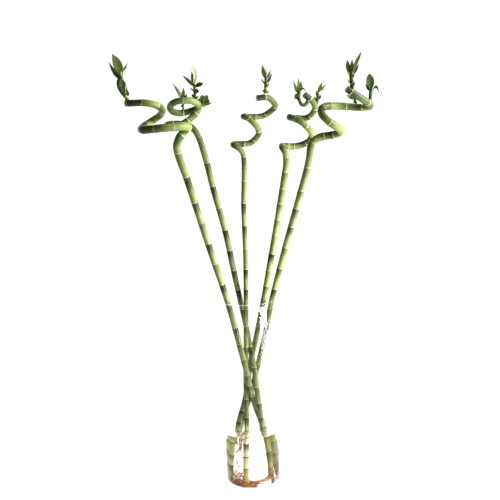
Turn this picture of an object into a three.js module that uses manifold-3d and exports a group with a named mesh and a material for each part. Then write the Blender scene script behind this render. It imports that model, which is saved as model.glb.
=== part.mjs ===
// Lucky bamboo: five canes with wound tops, leafy side shoots and a root mat,
// standing in water in a tall clear glass vase. Millimetres, +Z up, origin at the
// centre of the vase's foot, front of the arrangement towards -Y.
import * as THREE from 'three';
import Module from 'manifold-3d';

const wasm = await Module();
wasm.setup();

// Vase: a tall glass cylinder that opens very slightly to its rim
const VASE_HEIGHT = 400;
const VASE_FOOT_RADIUS = 59;
const VASE_RIM_RADIUS = 63;
const VASE_WALL = 3.5;
const VASE_FLOOR = 8;
const VASE_CORNER = 6;
const VASE_SEGMENTS = 48;

// Water and the clearance that keeps neighbouring pieces apart
const WATER_LEVEL = 118;
const GAP = 0.3;

// Canes: a ring at every node, where the stem is a little thicker
const CANE_SIDES = 8;
const RING_SWELL = 1.07;
const RING_WAIST = 0.97;
const RING_HEIGHT = 2.2;
const CURL_STEP = 12;
const CURVE_SAMPLES = 1500;

// Shoots and their leaves
const STEM_SIDES = 6;
const SCAR_SPACING = 9;
const SCAR_SWELL = 1.16;
const LEAF_THICKNESS = 0.8;
const LEAF_SPAN = 10;
const LEAF_FOOT = 0.9;
const LEAF_TIP = 1.35;
const LEAF_CHANNEL = 0.22;
const LEAF_ARCH = 0.06;

// Roots: a mound at the front left of the vase's floor, a sleeve around each cane's foot,
// and strands that run over the floor from each sleeve
const ROOT_SIDES = 4;
const ROOT_RADIUS = 0.9;
const ROOT_STRANDS = 5;
const ROOT_RUN = 34;
const ROOT_REACH = 50;
const CROWN_HEIGHT = 20;
const MAT_CENTRE = [-20, -25];
const MAT_SIZE = [25, 20, 9];
const ROOT_SEED = 7;

// Each cane: points along its centreline, first the leaning stalk and then the wound
// top; the heights of the rings on the stalk; the lengths from the last of those to each
// ring of the wound top; and its radius at the foot, at the vase's rim, half way up, at
// the neck, in the wound top and at the sawn end.
const CANES = [
  {
    name: 'cane_front_left',
    stalk: [[34, 24, 9.2], [30, 17, 62], [26, 12, 110], [13, 6, 155], [3, -3, 194], [-5, -15, 243],
      [-19, -24, 312], [-38, -35, 400], [-63, -54, 495], [-83, -72, 572], [-105, -96, 661],
      [-118, -108, 707]],
    curl: [[-120, -113, 724], [-115, -115, 737], [-108, -111, 747], [-101, -112, 754], [-97, -120, 759],
      [-101, -133, 761], [-114, -148, 761], [-138, -156, 760], [-165, -146, 758], [-179, -133, 757],
      [-184, -117, 758], [-180, -99, 763], [-168, -86, 771], [-154, -90, 779], [-144, -108, 788],
      [-144, -123, 795], [-151, -135, 801], [-163, -141, 805], [-177, -141, 807], [-192, -137, 807],
      [-208, -130, 807]],
    rings: [34, 59, 86, 112, 136, 161, 192, 219, 242, 277, 312, 347, 397, 440, 485, 528, 571, 613, 664,
      711],
    curlRings: [35, 61, 104, 138, 168, 209, 238, 267, 296, 325, 354],
    radii: [5.8, 5.9, 6.3, 6.9, 7.7, 6.2],
  },
  {
    name: 'cane_back_left',
    stalk: [[34, -26, 9.2], [30, -19, 62], [23, -13, 120], [17, -9, 179], [13.5, -3, 210], [10, 6, 251],
      [3, 20, 291], [-3, 34, 329], [-11, 45, 372], [-22, 54, 429], [-40, 70, 531], [-63, 83, 626],
      [-73, 91, 675], [-80, 95, 703], [-88, 99, 730]],
    curl: [[-98, 102, 747], [-109, 104, 755], [-124, 104, 759], [-139, 100, 760], [-148, 93, 760],
      [-151, 84, 759], [-146, 76, 758], [-134, 72, 757], [-120, 73, 760], [-107, 76, 767], [-97, 81, 775],
      [-89, 84, 783], [-85, 83, 791], [-85, 77, 798], [-90, 68, 803], [-100, 59, 807], [-114, 53, 808],
      [-130, 57, 806], [-141, 69, 800], [-144, 83, 793], [-140, 97, 786], [-128, 107, 782],
      [-114, 111, 783], [-101, 110, 786], [-89, 106, 790]],
    rings: [39, 74, 105, 127, 148, 178, 210, 251, 291, 330, 367, 408, 449, 490, 533, 580, 626, 675, 730],
    curlRings: [36, 70, 104, 137, 160, 182, 224, 250, 275, 316],
    radii: [5.4, 5.7, 6.2, 6.5, 7, 6.6],
  },
  {
    name: 'cane_back_centre',
    stalk: [[-14, -26, 9.2], [-12, -24, 62], [-10, -20, 123], [-9, -10, 176], [-9, 5, 216], [-6, 9, 283],
      [-3, 22, 353], [-1, 40, 410], [1, 58, 494], [1, 78, 587], [4, 86, 636], [5, 91, 683]],
    curl: [[3, 90, 694], [-2, 85, 702], [-9, 82, 708], [-15, 85, 712], [-16, 93, 713], [-10, 101, 713],
      [3, 106, 712], [20, 107, 714], [31, 102, 722], [39, 90, 735], [35, 80, 748], [26, 74, 759],
      [18, 74, 766], [11, 78, 769], [8, 86, 770], [10, 95, 770], [19, 103, 769], [33, 109, 768],
      [51, 112, 770], [66, 106, 779], [75, 92, 789], [70, 82, 799], [62, 75, 806], [53, 70, 808],
      [37, 65, 807]],
    rings: [43, 68, 96, 122, 150, 185, 216, 252, 294, 335, 370, 411, 452, 494, 541, 588, 635, 686],
    curlRings: [37, 73, 99, 127, 163, 190, 218, 242, 276, 313],
    radii: [5, 5, 5.1, 5.5, 6.3, 6],
  },
  {
    name: 'cane_back_right',
    stalk: [[-41.5, -8, 9.2], [-36.5, -7, 62], [-28, -3, 129], [-12, 8, 180], [-5, 18, 215], [3, 27, 257],
      [14, 32, 298], [34, 34, 381], [56, 51, 482], [69, 64, 542], [88, 79, 635], [94, 83, 668]],
    curl: [[94, 82, 684], [92, 79, 693], [88, 79, 701], [86, 85, 705], [89, 94, 705], [98, 102, 704],
      [111, 107, 703], [128, 111, 705], [143, 106, 712], [150, 92, 724], [147, 79, 734], [138, 68, 745],
      [127, 63, 755], [116, 65, 761], [107, 71, 764], [104, 80, 765], [106, 91, 765], [114, 100, 763],
      [125, 107, 762], [138, 110, 761], [148, 107, 765], [156, 98, 775], [158, 87, 783], [155, 78, 792],
      [148, 71, 800], [136, 63, 810]],
    rings: [44, 67, 94, 116, 137, 159, 187, 216, 248, 277, 303, 332, 361, 390, 416, 448, 483, 520, 552,
      584, 616, 651, 684],
    curlRings: [22, 48, 63, 93, 123, 154, 182, 210, 238, 264, 292, 322],
    radii: [5.4, 5.8, 6.5, 6.8, 6.8, 6.2],
  },
  {
    name: 'cane_front_right',
    stalk: [[-32, 27, 9.2], [-29, 25, 62], [-22, 22, 119], [-1, 21, 185], [19, 19, 255], [29, 15, 292],
      [39, 8, 338], [52, 1, 395], [69, -13, 460], [95, -36, 553], [116, -54, 626], [128, -64, 669],
      [133, -67, 693]],
    curl: [[135, -66, 707], [139, -63, 717], [147, -59, 724], [157, -56, 728], [169, -55, 730],
      [183, -61, 732], [193, -73, 737], [194, -86, 741], [185, -99, 747], [173, -107, 755],
      [162, -106, 765], [156, -98, 774], [157, -86, 781], [164, -73, 786], [177, -61, 787],
      [194, -53, 786], [213, -51, 784], [230, -55, 782], [244, -65, 782], [251, -79, 784],
      [247, -92, 789], [234, -104, 797], [220, -112, 806], [203, -117, 818]],
    rings: [40, 66, 90, 114, 149, 185, 220, 255, 292, 336, 377, 420, 465, 508, 553, 589, 626, 671, 716],
    curlRings: [29, 52, 74, 119, 162, 190, 225, 259, 302, 346],
    radii: [5.4, 5.6, 6.3, 6.6, 7.4, 6.6],
  },
];

// Each shoot: the cane that it grows from, its stem's radius at the foot and the top,
// points along the stem, and its leaves. A leaf starts at a share of the stem's length;
// roll turns its face from the front in degrees; bow is its middle's shift along X and Z;
// blunt is 0 for a pointed tip and more for a rounder one.
const SHOOTS = [
  {
    name: 'shoot_front_left',
    cane: 0,
    girth: [3.2, 2],
    stem: [[-205, -131, 808], [-207, -132, 824], [-209, -133, 839], [-212, -133, 852], [-214, -134, 866]],
    leaves: [
      { at: 0.06, tip: [-219, -131, 854], width: 12, roll: -20, bow: [-4, 0], blunt: 0.9 },
      { at: 0.1, tip: [-213, -146, 851], width: 13, roll: 5, bow: [0, 0], blunt: 0.85 },
      { at: 0.2, tip: [-205, -142, 842], width: 5, roll: 20, bow: [1, 0], blunt: 0.6 },
      { at: 0.15, tip: [-202, -140, 830], width: 5, roll: 10, bow: [1, 0], blunt: 0.4 },
      { at: 0.8, tip: [-226, -146, 897], width: 17, roll: -8, bow: [1, 2], blunt: 0.25 },
      { at: 0.7, tip: [-236, -134, 885], width: 8.5, roll: 10, bow: [-1, -3], blunt: 0 },
      { at: 0.97, tip: [-199, -142, 881], width: 4.5, roll: 0, bow: [1, -2], blunt: 0 },
    ],
  },
  {
    name: 'shoot_back_left_low',
    cane: 1,
    girth: [1.9, 1.4],
    stem: [[-119, 108, 783], [-118, 101, 797], [-118, 97, 811], [-118, 95, 821]],
    leaves: [
      { at: 0.6, tip: [-137, 80, 846], width: 7.5, roll: 10, bow: [3, -2], blunt: 0 },
      { at: 0.6, tip: [-115, 100, 835], width: 8, roll: 10, bow: [0, 0], blunt: 0.2 },
      { at: 0.5, tip: [-109, 92, 823], width: 6, roll: -10, bow: [1, 0], blunt: 0.1 },
      { at: 0.35, tip: [-122, 92, 798], width: 4.5, roll: 20, bow: [-1, 0], blunt: 0 },
    ],
  },
  {
    name: 'shoot_back_left_tall',
    cane: 1,
    girth: [2.6, 1.9],
    stem: [[-91, 70, 802], [-91, 72, 812], [-91, 72, 824], [-91, 72, 835], [-92, 72, 843]],
    leaves: [
      { at: 0.9, tip: [-93, 70, 883], width: 9, roll: -5, bow: [4, 0], blunt: 0 },
      { at: 0.86, tip: [-95, 72, 868], width: 7, roll: 0, bow: [-1, 0], blunt: 0 },
      { at: 0.8, tip: [-114, 58, 859], width: 7, roll: -5, bow: [0, 1], blunt: 0 },
      { at: 0.8, tip: [-72, 62, 841], width: 9, roll: 5, bow: [0, 1], blunt: 0.45 },
      { at: 0.55, tip: [-101, 64, 833], width: 3.5, roll: 0, bow: [0, 1], blunt: 0 },
      { at: 0.45, tip: [-86, 58, 831], width: 8, roll: 10, bow: [3, 0], blunt: 0.5 },
      { at: 0.25, tip: [-97, 76, 821], width: 5, roll: 0, bow: [-1, 0], blunt: 0.1 },
      { at: 0.22, tip: [-83, 60, 816], width: 5, roll: -20, bow: [1, 0], blunt: 0 },
    ],
  },
  {
    name: 'shoot_back_left_bud',
    cane: 1,
    girth: [2.6, 2],
    stem: [[-84, 80, 798], [-78, 77, 801], [-74, 75, 803]],
    leaves: [
      { at: 0.2, tip: [-80, 76, 810], width: 9, roll: 0, bow: [-2, 2], blunt: 0.6 },
      { at: 0.3, tip: [-73, 68, 817], width: 11, roll: 0, bow: [0, 0], blunt: 0.85 },
      { at: 0.5, tip: [-65, 80, 817], width: 11, roll: 5, bow: [2, -1], blunt: 0.7 },
      { at: 0.5, tip: [-56, 66, 802], width: 6, roll: 15, bow: [0, -3], blunt: 0.2 },
      { at: 0.5, tip: [-61, 72, 808], width: 8, roll: 30, bow: [3, -3], blunt: 0.6 },
      { at: 0.4, tip: [-69, 60, 795], width: 6, roll: 0, bow: [1, -2], blunt: 0.5 },
    ],
  },
  {
    name: 'shoot_back_centre',
    cane: 2,
    girth: [3.1, 2.3],
    stem: [[54, 70, 808], [55, 69, 821], [56, 68, 834], [57, 68, 844], [57, 68, 851]],
    leaves: [
      { at: 0.84, tip: [50, 60, 875], width: 9, roll: -5, bow: [-1, 0], blunt: 0 },
      { at: 0.86, tip: [68, 74, 864], width: 5, roll: 0, bow: [1, -1], blunt: 0 },
      { at: 0.66, tip: [70, 66, 857], width: 5.5, roll: 0, bow: [1, -2], blunt: 0 },
      { at: 0.9, tip: [58, 76, 874], width: 3, roll: 0, bow: [1, 0], blunt: 0 },
      { at: 0.6, tip: [47, 60, 848], width: 3.5, roll: 10, bow: [-1, 0], blunt: 0 },
      { at: 0.45, tip: [63, 60, 838], width: 5, roll: 0, bow: [1, -1], blunt: 0 },
      { at: 0.22, tip: [38, 58, 824], width: 2.5, roll: 0, bow: [0, 1], blunt: 0 },
      { at: 0.14, tip: [62, 58, 823], width: 4.5, roll: -20, bow: [1, 0], blunt: 0 },
      { at: 0.25, tip: [50, 60, 824], width: 4, roll: 0, bow: [-1, 0], blunt: 0.3 },
    ],
  },
  {
    name: 'shoot_back_right_curved',
    cane: 3,
    girth: [3.8, 2.7],
    stem: [[142, 67, 797], [136, 61, 790], [129, 59, 790], [125, 59, 797], [123, 60, 806], [124, 61, 814],
      [124, 62, 820]],
    leaves: [
      { at: 0.8, tip: [124, 66, 846], width: 7, roll: 0, bow: [0, 0], blunt: 0 },
      { at: 0.88, tip: [128, 58, 839], width: 7.5, roll: 10, bow: [2, 0], blunt: 0 },
      { at: 0.84, tip: [113, 58, 842], width: 6.5, roll: 0, bow: [-1, -3], blunt: 0 },
      { at: 0.86, tip: [114, 54, 800], width: 5.5, roll: 0, bow: [-2, 3], blunt: 0.1 },
      { at: 0.9, tip: [139, 52, 813], width: 3.5, roll: 0, bow: [0, 9], blunt: 0 },
      { at: 0.6, tip: [116, 66, 808], width: 4.5, roll: 0, bow: [-1, 0], blunt: 0 },
    ],
  },
  {
    name: 'shoot_back_right_upright',
    cane: 3,
    girth: [3.6, 2.8],
    stem: [[158, 85, 786], [163, 85, 799], [165, 85, 810], [168, 85, 819]],
    leaves: [
      { at: 0.8, tip: [174, 88, 834], width: 7.5, roll: 0, bow: [0, 1], blunt: 0 },
      { at: 0.86, tip: [182, 80, 831], width: 4, roll: 0, bow: [0, 0], blunt: 0 },
      { at: 0.85, tip: [186, 76, 822], width: 2.5, roll: 0, bow: [-1, 1], blunt: 0 },
      { at: 0.6, tip: [161, 80, 819], width: 4, roll: 0, bow: [-1, -1], blunt: 0.2 },
      { at: 0.35, tip: [171, 80, 809], width: 4.5, roll: 0, bow: [1, 0], blunt: 0.2 },
      { at: 0.3, tip: [157, 80, 806], width: 4, roll: 0, bow: [-1, 0], blunt: 0.2 },
    ],
  },
  {
    name: 'shoot_front_right_tall',
    cane: 4,
    girth: [3.8, 3.3],
    stem: [[213, -114, 812], [213, -113, 825], [212, -113, 836], [212, -113, 845], [213, -113, 849]],
    leaves: [
      { at: 0.86, tip: [230, -122, 884], width: 6.5, roll: 0, bow: [-1, -1], blunt: 0.6 },
      { at: 0.84, tip: [206, -106, 872], width: 9, roll: 5, bow: [-2, 0], blunt: 0.25 },
      { at: 0.9, tip: [213, -122, 872], width: 7.5, roll: -5, bow: [0, 0], blunt: 0 },
      { at: 0.84, tip: [227, -104, 863], width: 6.5, roll: 0, bow: [1, -1], blunt: 0.3 },
      { at: 0.82, tip: [202, -124, 852], width: 3.5, roll: 0, bow: [0, -1], blunt: 0 },
      { at: 0.75, tip: [216, -126, 845], width: 4, roll: 0, bow: [1, -1], blunt: 0 },
      { at: 0.45, tip: [205, -108, 836], width: 3, roll: 20, bow: [-1, -1], blunt: 0 },
      { at: 0.3, tip: [216, -126, 831], width: 4, roll: 0, bow: [1, -1], blunt: 0 },
    ],
  },
  {
    name: 'shoot_front_right_oval',
    cane: 4,
    girth: [2.8, 2.9],
    stem: [[250, -84, 786], [250, -87, 801], [251, -88, 811], [253, -88, 817]],
    leaves: [
      { at: 0.95, tip: [248, -92, 845], width: 15.5, roll: 5, bow: [0, 0], blunt: 0.45 },
      { at: 0.85, tip: [242, -82, 829], width: 5, roll: 0, bow: [-1, -2], blunt: 0 },
      { at: 0.8, tip: [266, -98, 805], width: 5, roll: 0, bow: [2, 12], blunt: 0 },
    ],
  },
  {
    name: 'shoot_front_right_small',
    cane: 4,
    girth: [2.2, 1.4],
    stem: [[228, -54, 783], [227, -50, 793], [224, -50, 801]],
    leaves: [
      { at: 0.8, tip: [208, -66, 807], width: 5.5, roll: 10, bow: [-1, 0], blunt: 0.3 },
      { at: 0.85, tip: [217, -62, 804], width: 5, roll: 0, bow: [0, 0], blunt: 0.2 },
      { at: 0.9, tip: [230, -46, 808], width: 4, roll: 0, bow: [1, 0], blunt: 0 },
      { at: 0.5, tip: [222, -58, 797], width: 5, roll: 0, bow: [-1, -2], blunt: 0.3 },
    ],
  },
];

// Roots that hang in the water beside the centre cane, from a ring down to the mat
const HANGING_ROOTS = [
  [[-17, -21, 112], [-20, -19, 92], [-21, -18, 50], [-21, -22, 12]],
  [[-27, -15, 75], [-24, -16, 83], [-20, -19, 92]],
  [[-23, -17, 112], [-23, -17, 103], [-20, -19, 92]],
];

const MATERIALS = {
  glass: new THREE.MeshStandardMaterial({ color: 0xe4efec, roughness: 0.05, metalness: 0 }),
  water: new THREE.MeshStandardMaterial({ color: 0xf3f4e6, roughness: 0.05, metalness: 0 }),
  cane: new THREE.MeshStandardMaterial({ color: 0x86a64c, roughness: 0.4, metalness: 0 }),
  shoot: new THREE.MeshStandardMaterial({ color: 0x3f6b2c, roughness: 0.45, metalness: 0 }),
  root: new THREE.MeshStandardMaterial({ color: 0xb0623a, roughness: 0.7, metalness: 0 }),
};

// Shared shaping

function vec(point) {
  return new THREE.Vector3(point[0], point[1], point[2]);
}

function vaseInnerRadius(z) {
  const flare = (VASE_RIM_RADIUS - VASE_FOOT_RADIUS) * z / VASE_HEIGHT;
  return VASE_FOOT_RADIUS + flare - VASE_WALL;
}

function closedGeometry(positions, indices) {
  const geometry = new THREE.BufferGeometry();
  geometry.setAttribute('position', new THREE.Float32BufferAttribute(positions, 3));
  geometry.setIndex(indices);
  geometry.computeVertexNormals();
  return geometry;
}

// A closed tube through stations { point, tangent, radius }, its section carried along
// without twist.
function tube(stations, sides) {
  const positions = [];
  const indices = [];
  let normal = new THREE.Vector3(1, 0, 0);
  for (const { point, tangent, radius } of stations) {
    normal = normal.clone().addScaledVector(tangent, -normal.dot(tangent)).normalize();
    const binormal = new THREE.Vector3().crossVectors(tangent, normal);
    for (let k = 0; k < sides; k++) {
      const angle = 2 * Math.PI * k / sides;
      const corner = point.clone()
        .addScaledVector(normal, radius * Math.cos(angle))
        .addScaledVector(binormal, radius * Math.sin(angle));
      positions.push(corner.x, corner.y, corner.z);
    }
  }
  const last = (stations.length - 1) * sides;
  for (let row = 0; row < last; row += sides) {
    for (let k = 0; k < sides; k++) {
      const a = row + k;
      const b = row + (k + 1) % sides;
      indices.push(a, b, b + sides, a, b + sides, a + sides);
    }
  }
  for (let k = 1; k < sides - 1; k++) {
    indices.push(0, k + 1, k);
    indices.push(last, last + k, last + k + 1);
  }
  return closedGeometry(positions, indices);
}

// A body turned about the vertical axis; the outline starts and ends on the axis
function turned(outline, segments) {
  const points = outline.map(([radius, height]) => new THREE.Vector2(radius, height));
  const lathe = new THREE.LatheGeometry(points, segments);
  lathe.rotateX(Math.PI / 2);
  return lathe;
}

function toSolid(geometry) {
  const keys = new Map();
  const vertices = [];
  const remap = [];
  const source = geometry.getAttribute('position');
  for (let i = 0; i < source.count; i++) {
    const corner = [source.getX(i), source.getY(i), source.getZ(i)];
    const key = corner.map((value) => Math.round(value * 1e4)).join(',');
    if (!keys.has(key)) {
      keys.set(key, vertices.length / 3);
      vertices.push(...corner);
    }
    remap.push(keys.get(key));
  }
  const triangles = [];
  for (let i = 0; i < geometry.index.count; i += 3) {
    const [a, b, c] = [0, 1, 2].map((k) => remap[geometry.index.getX(i + k)]);
    if (a !== b && b !== c && c !== a) {
      triangles.push(a, b, c);
    }
  }
  return new wasm.Manifold(new wasm.Mesh({
    numProp: 3,
    vertProperties: new Float32Array(vertices),
    triVerts: new Uint32Array(triangles),
  }));
}

function toGeometry(solid) {
  const { vertProperties, triVerts } = solid.getMesh();
  return closedGeometry(Array.from(vertProperties), Array.from(triVerts));
}

// The biggest body of a solid: scraps that a cut leaves loose are dropped
function largestBody(solid) {
  const bodies = solid.decompose();
  return bodies.reduce((best, body) => (body.volume() > best.volume() ? body : best));
}

function joined(solids) {
  return solids.reduce((whole, solid) => whole.add(solid));
}

// Canes

function smoothstep(value) {
  const t = THREE.MathUtils.clamp(value, 0, 1);
  return t * t * (3 - 2 * t);
}

// The cane's radius at a length along it, without its rings
function caneRadius(cane, length, neck, total) {
  const marks = [0, neck * 0.45, neck * 0.75, neck, neck + 55, total];
  for (let k = 1; k < marks.length; k++) {
    if (length <= marks[k]) {
      const share = smoothstep((length - marks[k - 1]) / (marks[k] - marks[k - 1]));
      return THREE.MathUtils.lerp(cane.radii[k - 1], cane.radii[k], share);
    }
  }
  return cane.radii[marks.length - 1];
}

// The rings' places along the cane, from their heights on the stalk and their lengths
// past it in the wound top
function ringLengths(cane, curve, lengths) {
  const places = [];
  let sample = 0;
  for (const height of cane.rings) {
    while (curve.getPoint(sample / CURVE_SAMPLES).z < height) {
      sample += 1;
    }
    places.push(lengths[sample]);
  }
  const start = places[places.length - 1];
  places.push(...cane.curlRings.map((length) => start + length));
  return places;
}

// Sections of the cane from its foot to its sawn end, thickened by extra
function caneStations(cane, extra) {
  const curve = new THREE.CatmullRomCurve3([...cane.stalk, ...cane.curl].map(vec));
  curve.arcLengthDivisions = CURVE_SAMPLES;
  const lengths = curve.getLengths(CURVE_SAMPLES);
  const total = lengths[CURVE_SAMPLES];
  const neckShare = (cane.stalk.length - 1) / (cane.stalk.length + cane.curl.length - 1);
  const neck = lengths[Math.round(neckShare * CURVE_SAMPLES)];
  const rings = ringLengths(cane, curve, lengths);
  const places = [[0, 1]];
  rings.forEach((ring, index) => {
    places.push([ring, RING_SWELL]);
    places.push([ring + RING_HEIGHT, RING_WAIST]);
    const end = index + 1 < rings.length ? rings[index + 1] : total;
    const bare = end - ring - RING_HEIGHT;
    const steps = ring > neck - 1 ? Math.round(bare / CURL_STEP) : 1;
    for (let k = 1; k < steps; k++) {
      places.push([ring + RING_HEIGHT + bare * k / steps, 1]);
    }
  });
  places.push([total, 1]);
  return places.map(([length, swell]) => {
    const share = Math.min(length / total, 1);
    const radius = caneRadius(cane, length, neck, total) * swell + extra;
    return { point: curve.getPointAt(share), tangent: curve.getTangentAt(share), radius };
  });
}

// The room that a cane's foot takes in the water and the roots around it
function caneRoom(cane) {
  const top = WATER_LEVEL + 50;
  const stations = caneStations(cane, GAP).filter(({ point }) => point.z < top);
  const foot = stations[0];
  foot.point.addScaledVector(foot.tangent, -VASE_FLOOR);
  return toSolid(tube(stations, CANE_SIDES));
}

// Shoots

function leafHalfWidth(share, leaf) {
  const rounding = LEAF_TIP - leaf.blunt;
  const widest = LEAF_FOOT / (LEAF_FOOT + rounding);
  const outline = (at) => Math.pow(at, LEAF_FOOT) * Math.pow(1 - at, rounding);
  return Math.max(0.5 * leaf.width * outline(share) / outline(widest), LEAF_THICKNESS / 2);
}

// A thin arched blade from its foot on the stem to its tip, channelled along its middle,
// with both faces split into the same triangles
function leafBlade(foot, leaf) {
  const chord = vec(leaf.tip).sub(foot);
  const along = chord.clone().normalize();
  const across = new THREE.Vector3().crossVectors(along, new THREE.Vector3(0, -1, 0)).normalize();
  across.applyAxisAngle(along, THREE.MathUtils.degToRad(leaf.roll));
  const face = new THREE.Vector3().crossVectors(across, along);
  const spans = Math.max(3, Math.round(chord.length() / LEAF_SPAN));
  const positions = [];
  for (let i = 0; i <= spans; i++) {
    const share = i / spans;
    const rise = Math.sin(Math.PI * share);
    const middle = foot.clone().addScaledVector(chord, share)
      .add(new THREE.Vector3(leaf.bow[0] * rise, 0, leaf.bow[1] * rise))
      .addScaledVector(face, -LEAF_ARCH * chord.length() * rise);
    const half = leafHalfWidth(share, leaf);
    for (const [side, layer] of [[-1, 1], [0, 1], [1, 1], [1, -1], [0, -1], [-1, -1]]) {
      const lift = LEAF_CHANNEL * half * Math.abs(side) + layer * LEAF_THICKNESS / 2;
      const corner = middle.clone().addScaledVector(across, side * half).addScaledVector(face, lift);
      positions.push(corner.x, corner.y, corner.z);
    }
  }
  const indices = [];
  for (let i = 0; i < spans; i++) {
    const row = 6 * i;
    for (let k = 0; k < 6; k++) {
      const a = row + k;
      const b = row + (k + 1) % 6;
      if (k < 3) {
        indices.push(a, b, b + 6, a, b + 6, a + 6);
      } else {
        indices.push(a, b, a + 6, b, b + 6, a + 6);
      }
    }
  }
  for (const [row, flip] of [[0, true], [6 * spans, false]]) {
    const quads = [[0, 1, 4], [0, 4, 5], [1, 2, 3], [1, 3, 4]];
    for (const [a, b, c] of quads) {
      indices.push(row + a, row + (flip ? c : b), row + (flip ? b : c));
    }
  }
  return closedGeometry(positions, indices);
}

function shootSolid(shoot) {
  const curve = new THREE.CatmullRomCurve3(shoot.stem.map(vec));
  const scars = Math.max(2, Math.round(curve.getLength() / SCAR_SPACING));
  const stations = [];
  for (let k = 0; k <= 2 * scars; k++) {
    const share = k / (2 * scars);
    const girth = THREE.MathUtils.lerp(shoot.girth[0], shoot.girth[1], share);
    const swell = k % 2 === 1 ? SCAR_SWELL : 1;
    stations.push({
      point: curve.getPointAt(share),
      tangent: curve.getTangentAt(share),
      radius: girth * swell,
    });
  }
  const stem = toSolid(tube(stations, STEM_SIDES));
  const blades = shoot.leaves.map((leaf) => toSolid(leafBlade(curve.getPointAt(leaf.at), leaf)));
  const whole = joined([stem, ...blades]);
  const caneBody = toSolid(tube(caneStations(CANES[shoot.cane], GAP), CANE_SIDES));
  return largestBody(whole.subtract(caneBody));
}

// Roots

function seededRandom(seed) {
  let state = seed;
  return () => {
    state = (state * 16807) % 2147483647;
    return state / 2147483647;
  };
}

function strand(points, radius) {
  const curve = new THREE.CatmullRomCurve3(points.map(vec));
  const steps = 6;
  const stations = [];
  for (let k = 0; k <= steps; k++) {
    const share = k / steps;
    stations.push({
      point: curve.getPointAt(share),
      tangent: curve.getTangentAt(share),
      radius: radius * (1.15 - 0.4 * share),
    });
  }
  return toSolid(tube(stations, ROOT_SIDES));
}

// One strand: out of the sleeve, down to the floor, and along it. The first one from
// each foot runs home to the mound; the others fan out around that line.
function floorStrand(foot, first, random) {
  const home = [MAT_CENTRE[0] - foot[0], MAT_CENTRE[1] - foot[1]];
  const fan = first ? 0 : 1;
  const heading = Math.atan2(home[1], home[0]) + fan * 3 * (random() - 0.5);
  const bend = fan * 1.6 * (random() - 0.5);
  const start = VASE_FLOOR + 6 + (CROWN_HEIGHT - 8) * random();
  const run = first ? Math.hypot(home[0], home[1]) : ROOT_RUN * (0.6 + 0.6 * random());
  const points = [[foot[0], foot[1], start]];
  for (const [share, height] of [[0.25, 0.7], [0.5, 0.22], [0.75, 0.12], [1, 0.1]]) {
    const angle = heading + bend * share;
    const x = foot[0] + run * share * Math.cos(angle);
    const y = foot[1] + run * share * Math.sin(angle);
    const pull = Math.min(1, ROOT_REACH / Math.hypot(x, y));
    const z = VASE_FLOOR + 1.6 + (start - VASE_FLOOR) * height;
    points.push([x * pull, y * pull, z]);
  }
  return strand(points, ROOT_RADIUS);
}

function rootSleeve(cane) {
  const foot = cane.stalk[0];
  const rise = cane.stalk[1];
  const share = CROWN_HEIGHT / (rise[2] - foot[2]);
  const axis = vec(rise).sub(vec(foot)).normalize();
  const top = vec(foot).lerp(vec(rise), share);
  const radius = cane.radii[0];
  const base = vec(foot).addScaledVector(axis, -3);
  const middle = vec(foot).lerp(vec(rise), share / 2);
  return toSolid(tube([
    { point: base, tangent: axis, radius: radius + 4.5 },
    { point: middle, tangent: axis, radius: radius + 2.6 },
    { point: top, tangent: axis, radius: radius + 1.4 },
  ], CANE_SIDES));
}

// The floor mat is a low mound of matted roots with a lumpy surface
function matMound() {
  const mound = new THREE.IcosahedronGeometry(1, 2);
  mound.deleteAttribute('normal');
  mound.deleteAttribute('uv');
  const place = mound.getAttribute('position');
  const indices = [];
  for (let i = 0; i < place.count; i++) {
    const corner = new THREE.Vector3().fromBufferAttribute(place, i);
    const lump = 1 + 0.14 * Math.sin(7 * corner.x + 2) * Math.cos(6 * corner.y + 1);
    corner.multiplyScalar(lump);
    place.setXYZ(
      i,
      MAT_CENTRE[0] + MAT_SIZE[0] * corner.x,
      MAT_CENTRE[1] + MAT_SIZE[1] * corner.y,
      VASE_FLOOR + 1 + MAT_SIZE[2] * corner.z,
    );
    indices.push(i);
  }
  mound.setIndex(indices);
  return toSolid(mound);
}

function hangingRoots(extra) {
  return HANGING_ROOTS.map((points) => strand(points, ROOT_RADIUS + extra));
}

// The inside of the vase up to a height, less a gap to the glass
function insideVase(gap, top) {
  const corner = VASE_CORNER + gap;
  const floor = VASE_FLOOR + gap;
  const inner = vaseInnerRadius(VASE_FLOOR + corner) - gap;
  return toSolid(turned([
    [0, floor],
    [inner - corner, floor],
    [inner - 0.3 * corner, floor + 0.3 * corner],
    [inner, VASE_FLOOR + corner],
    [vaseInnerRadius(top) - gap, top],
    [0, top],
  ], VASE_SEGMENTS));
}

// The room that the water leaves to the roots over the floor, less a gap
function rootRoom(gap) {
  const reach = ROOT_REACH + 3 - gap;
  const roof = VASE_FLOOR + CROWN_HEIGHT - gap;
  return toSolid(turned([
    [0, 0],
    [reach, 0],
    [reach, VASE_FLOOR + CROWN_HEIGHT * 0.6],
    [reach - 4, roof + 4],
    [0, roof + 6],
  ], VASE_SEGMENTS));
}

function rootMat() {
  const random = seededRandom(ROOT_SEED);
  const pieces = [matMound(), ...CANES.map(rootSleeve)];
  for (const cane of CANES) {
    for (let k = 0; k < ROOT_STRANDS; k++) {
      pieces.push(floorStrand(cane.stalk[0], k === 0, random));
    }
  }
  let mat = joined(pieces).intersect(rootRoom(GAP));
  mat = joined([mat, ...hangingRoots(0)]).intersect(insideVase(GAP, WATER_LEVEL));
  for (const cane of CANES) {
    mat = mat.subtract(caneRoom(cane));
  }
  return largestBody(mat);
}

// Vase and water

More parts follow.
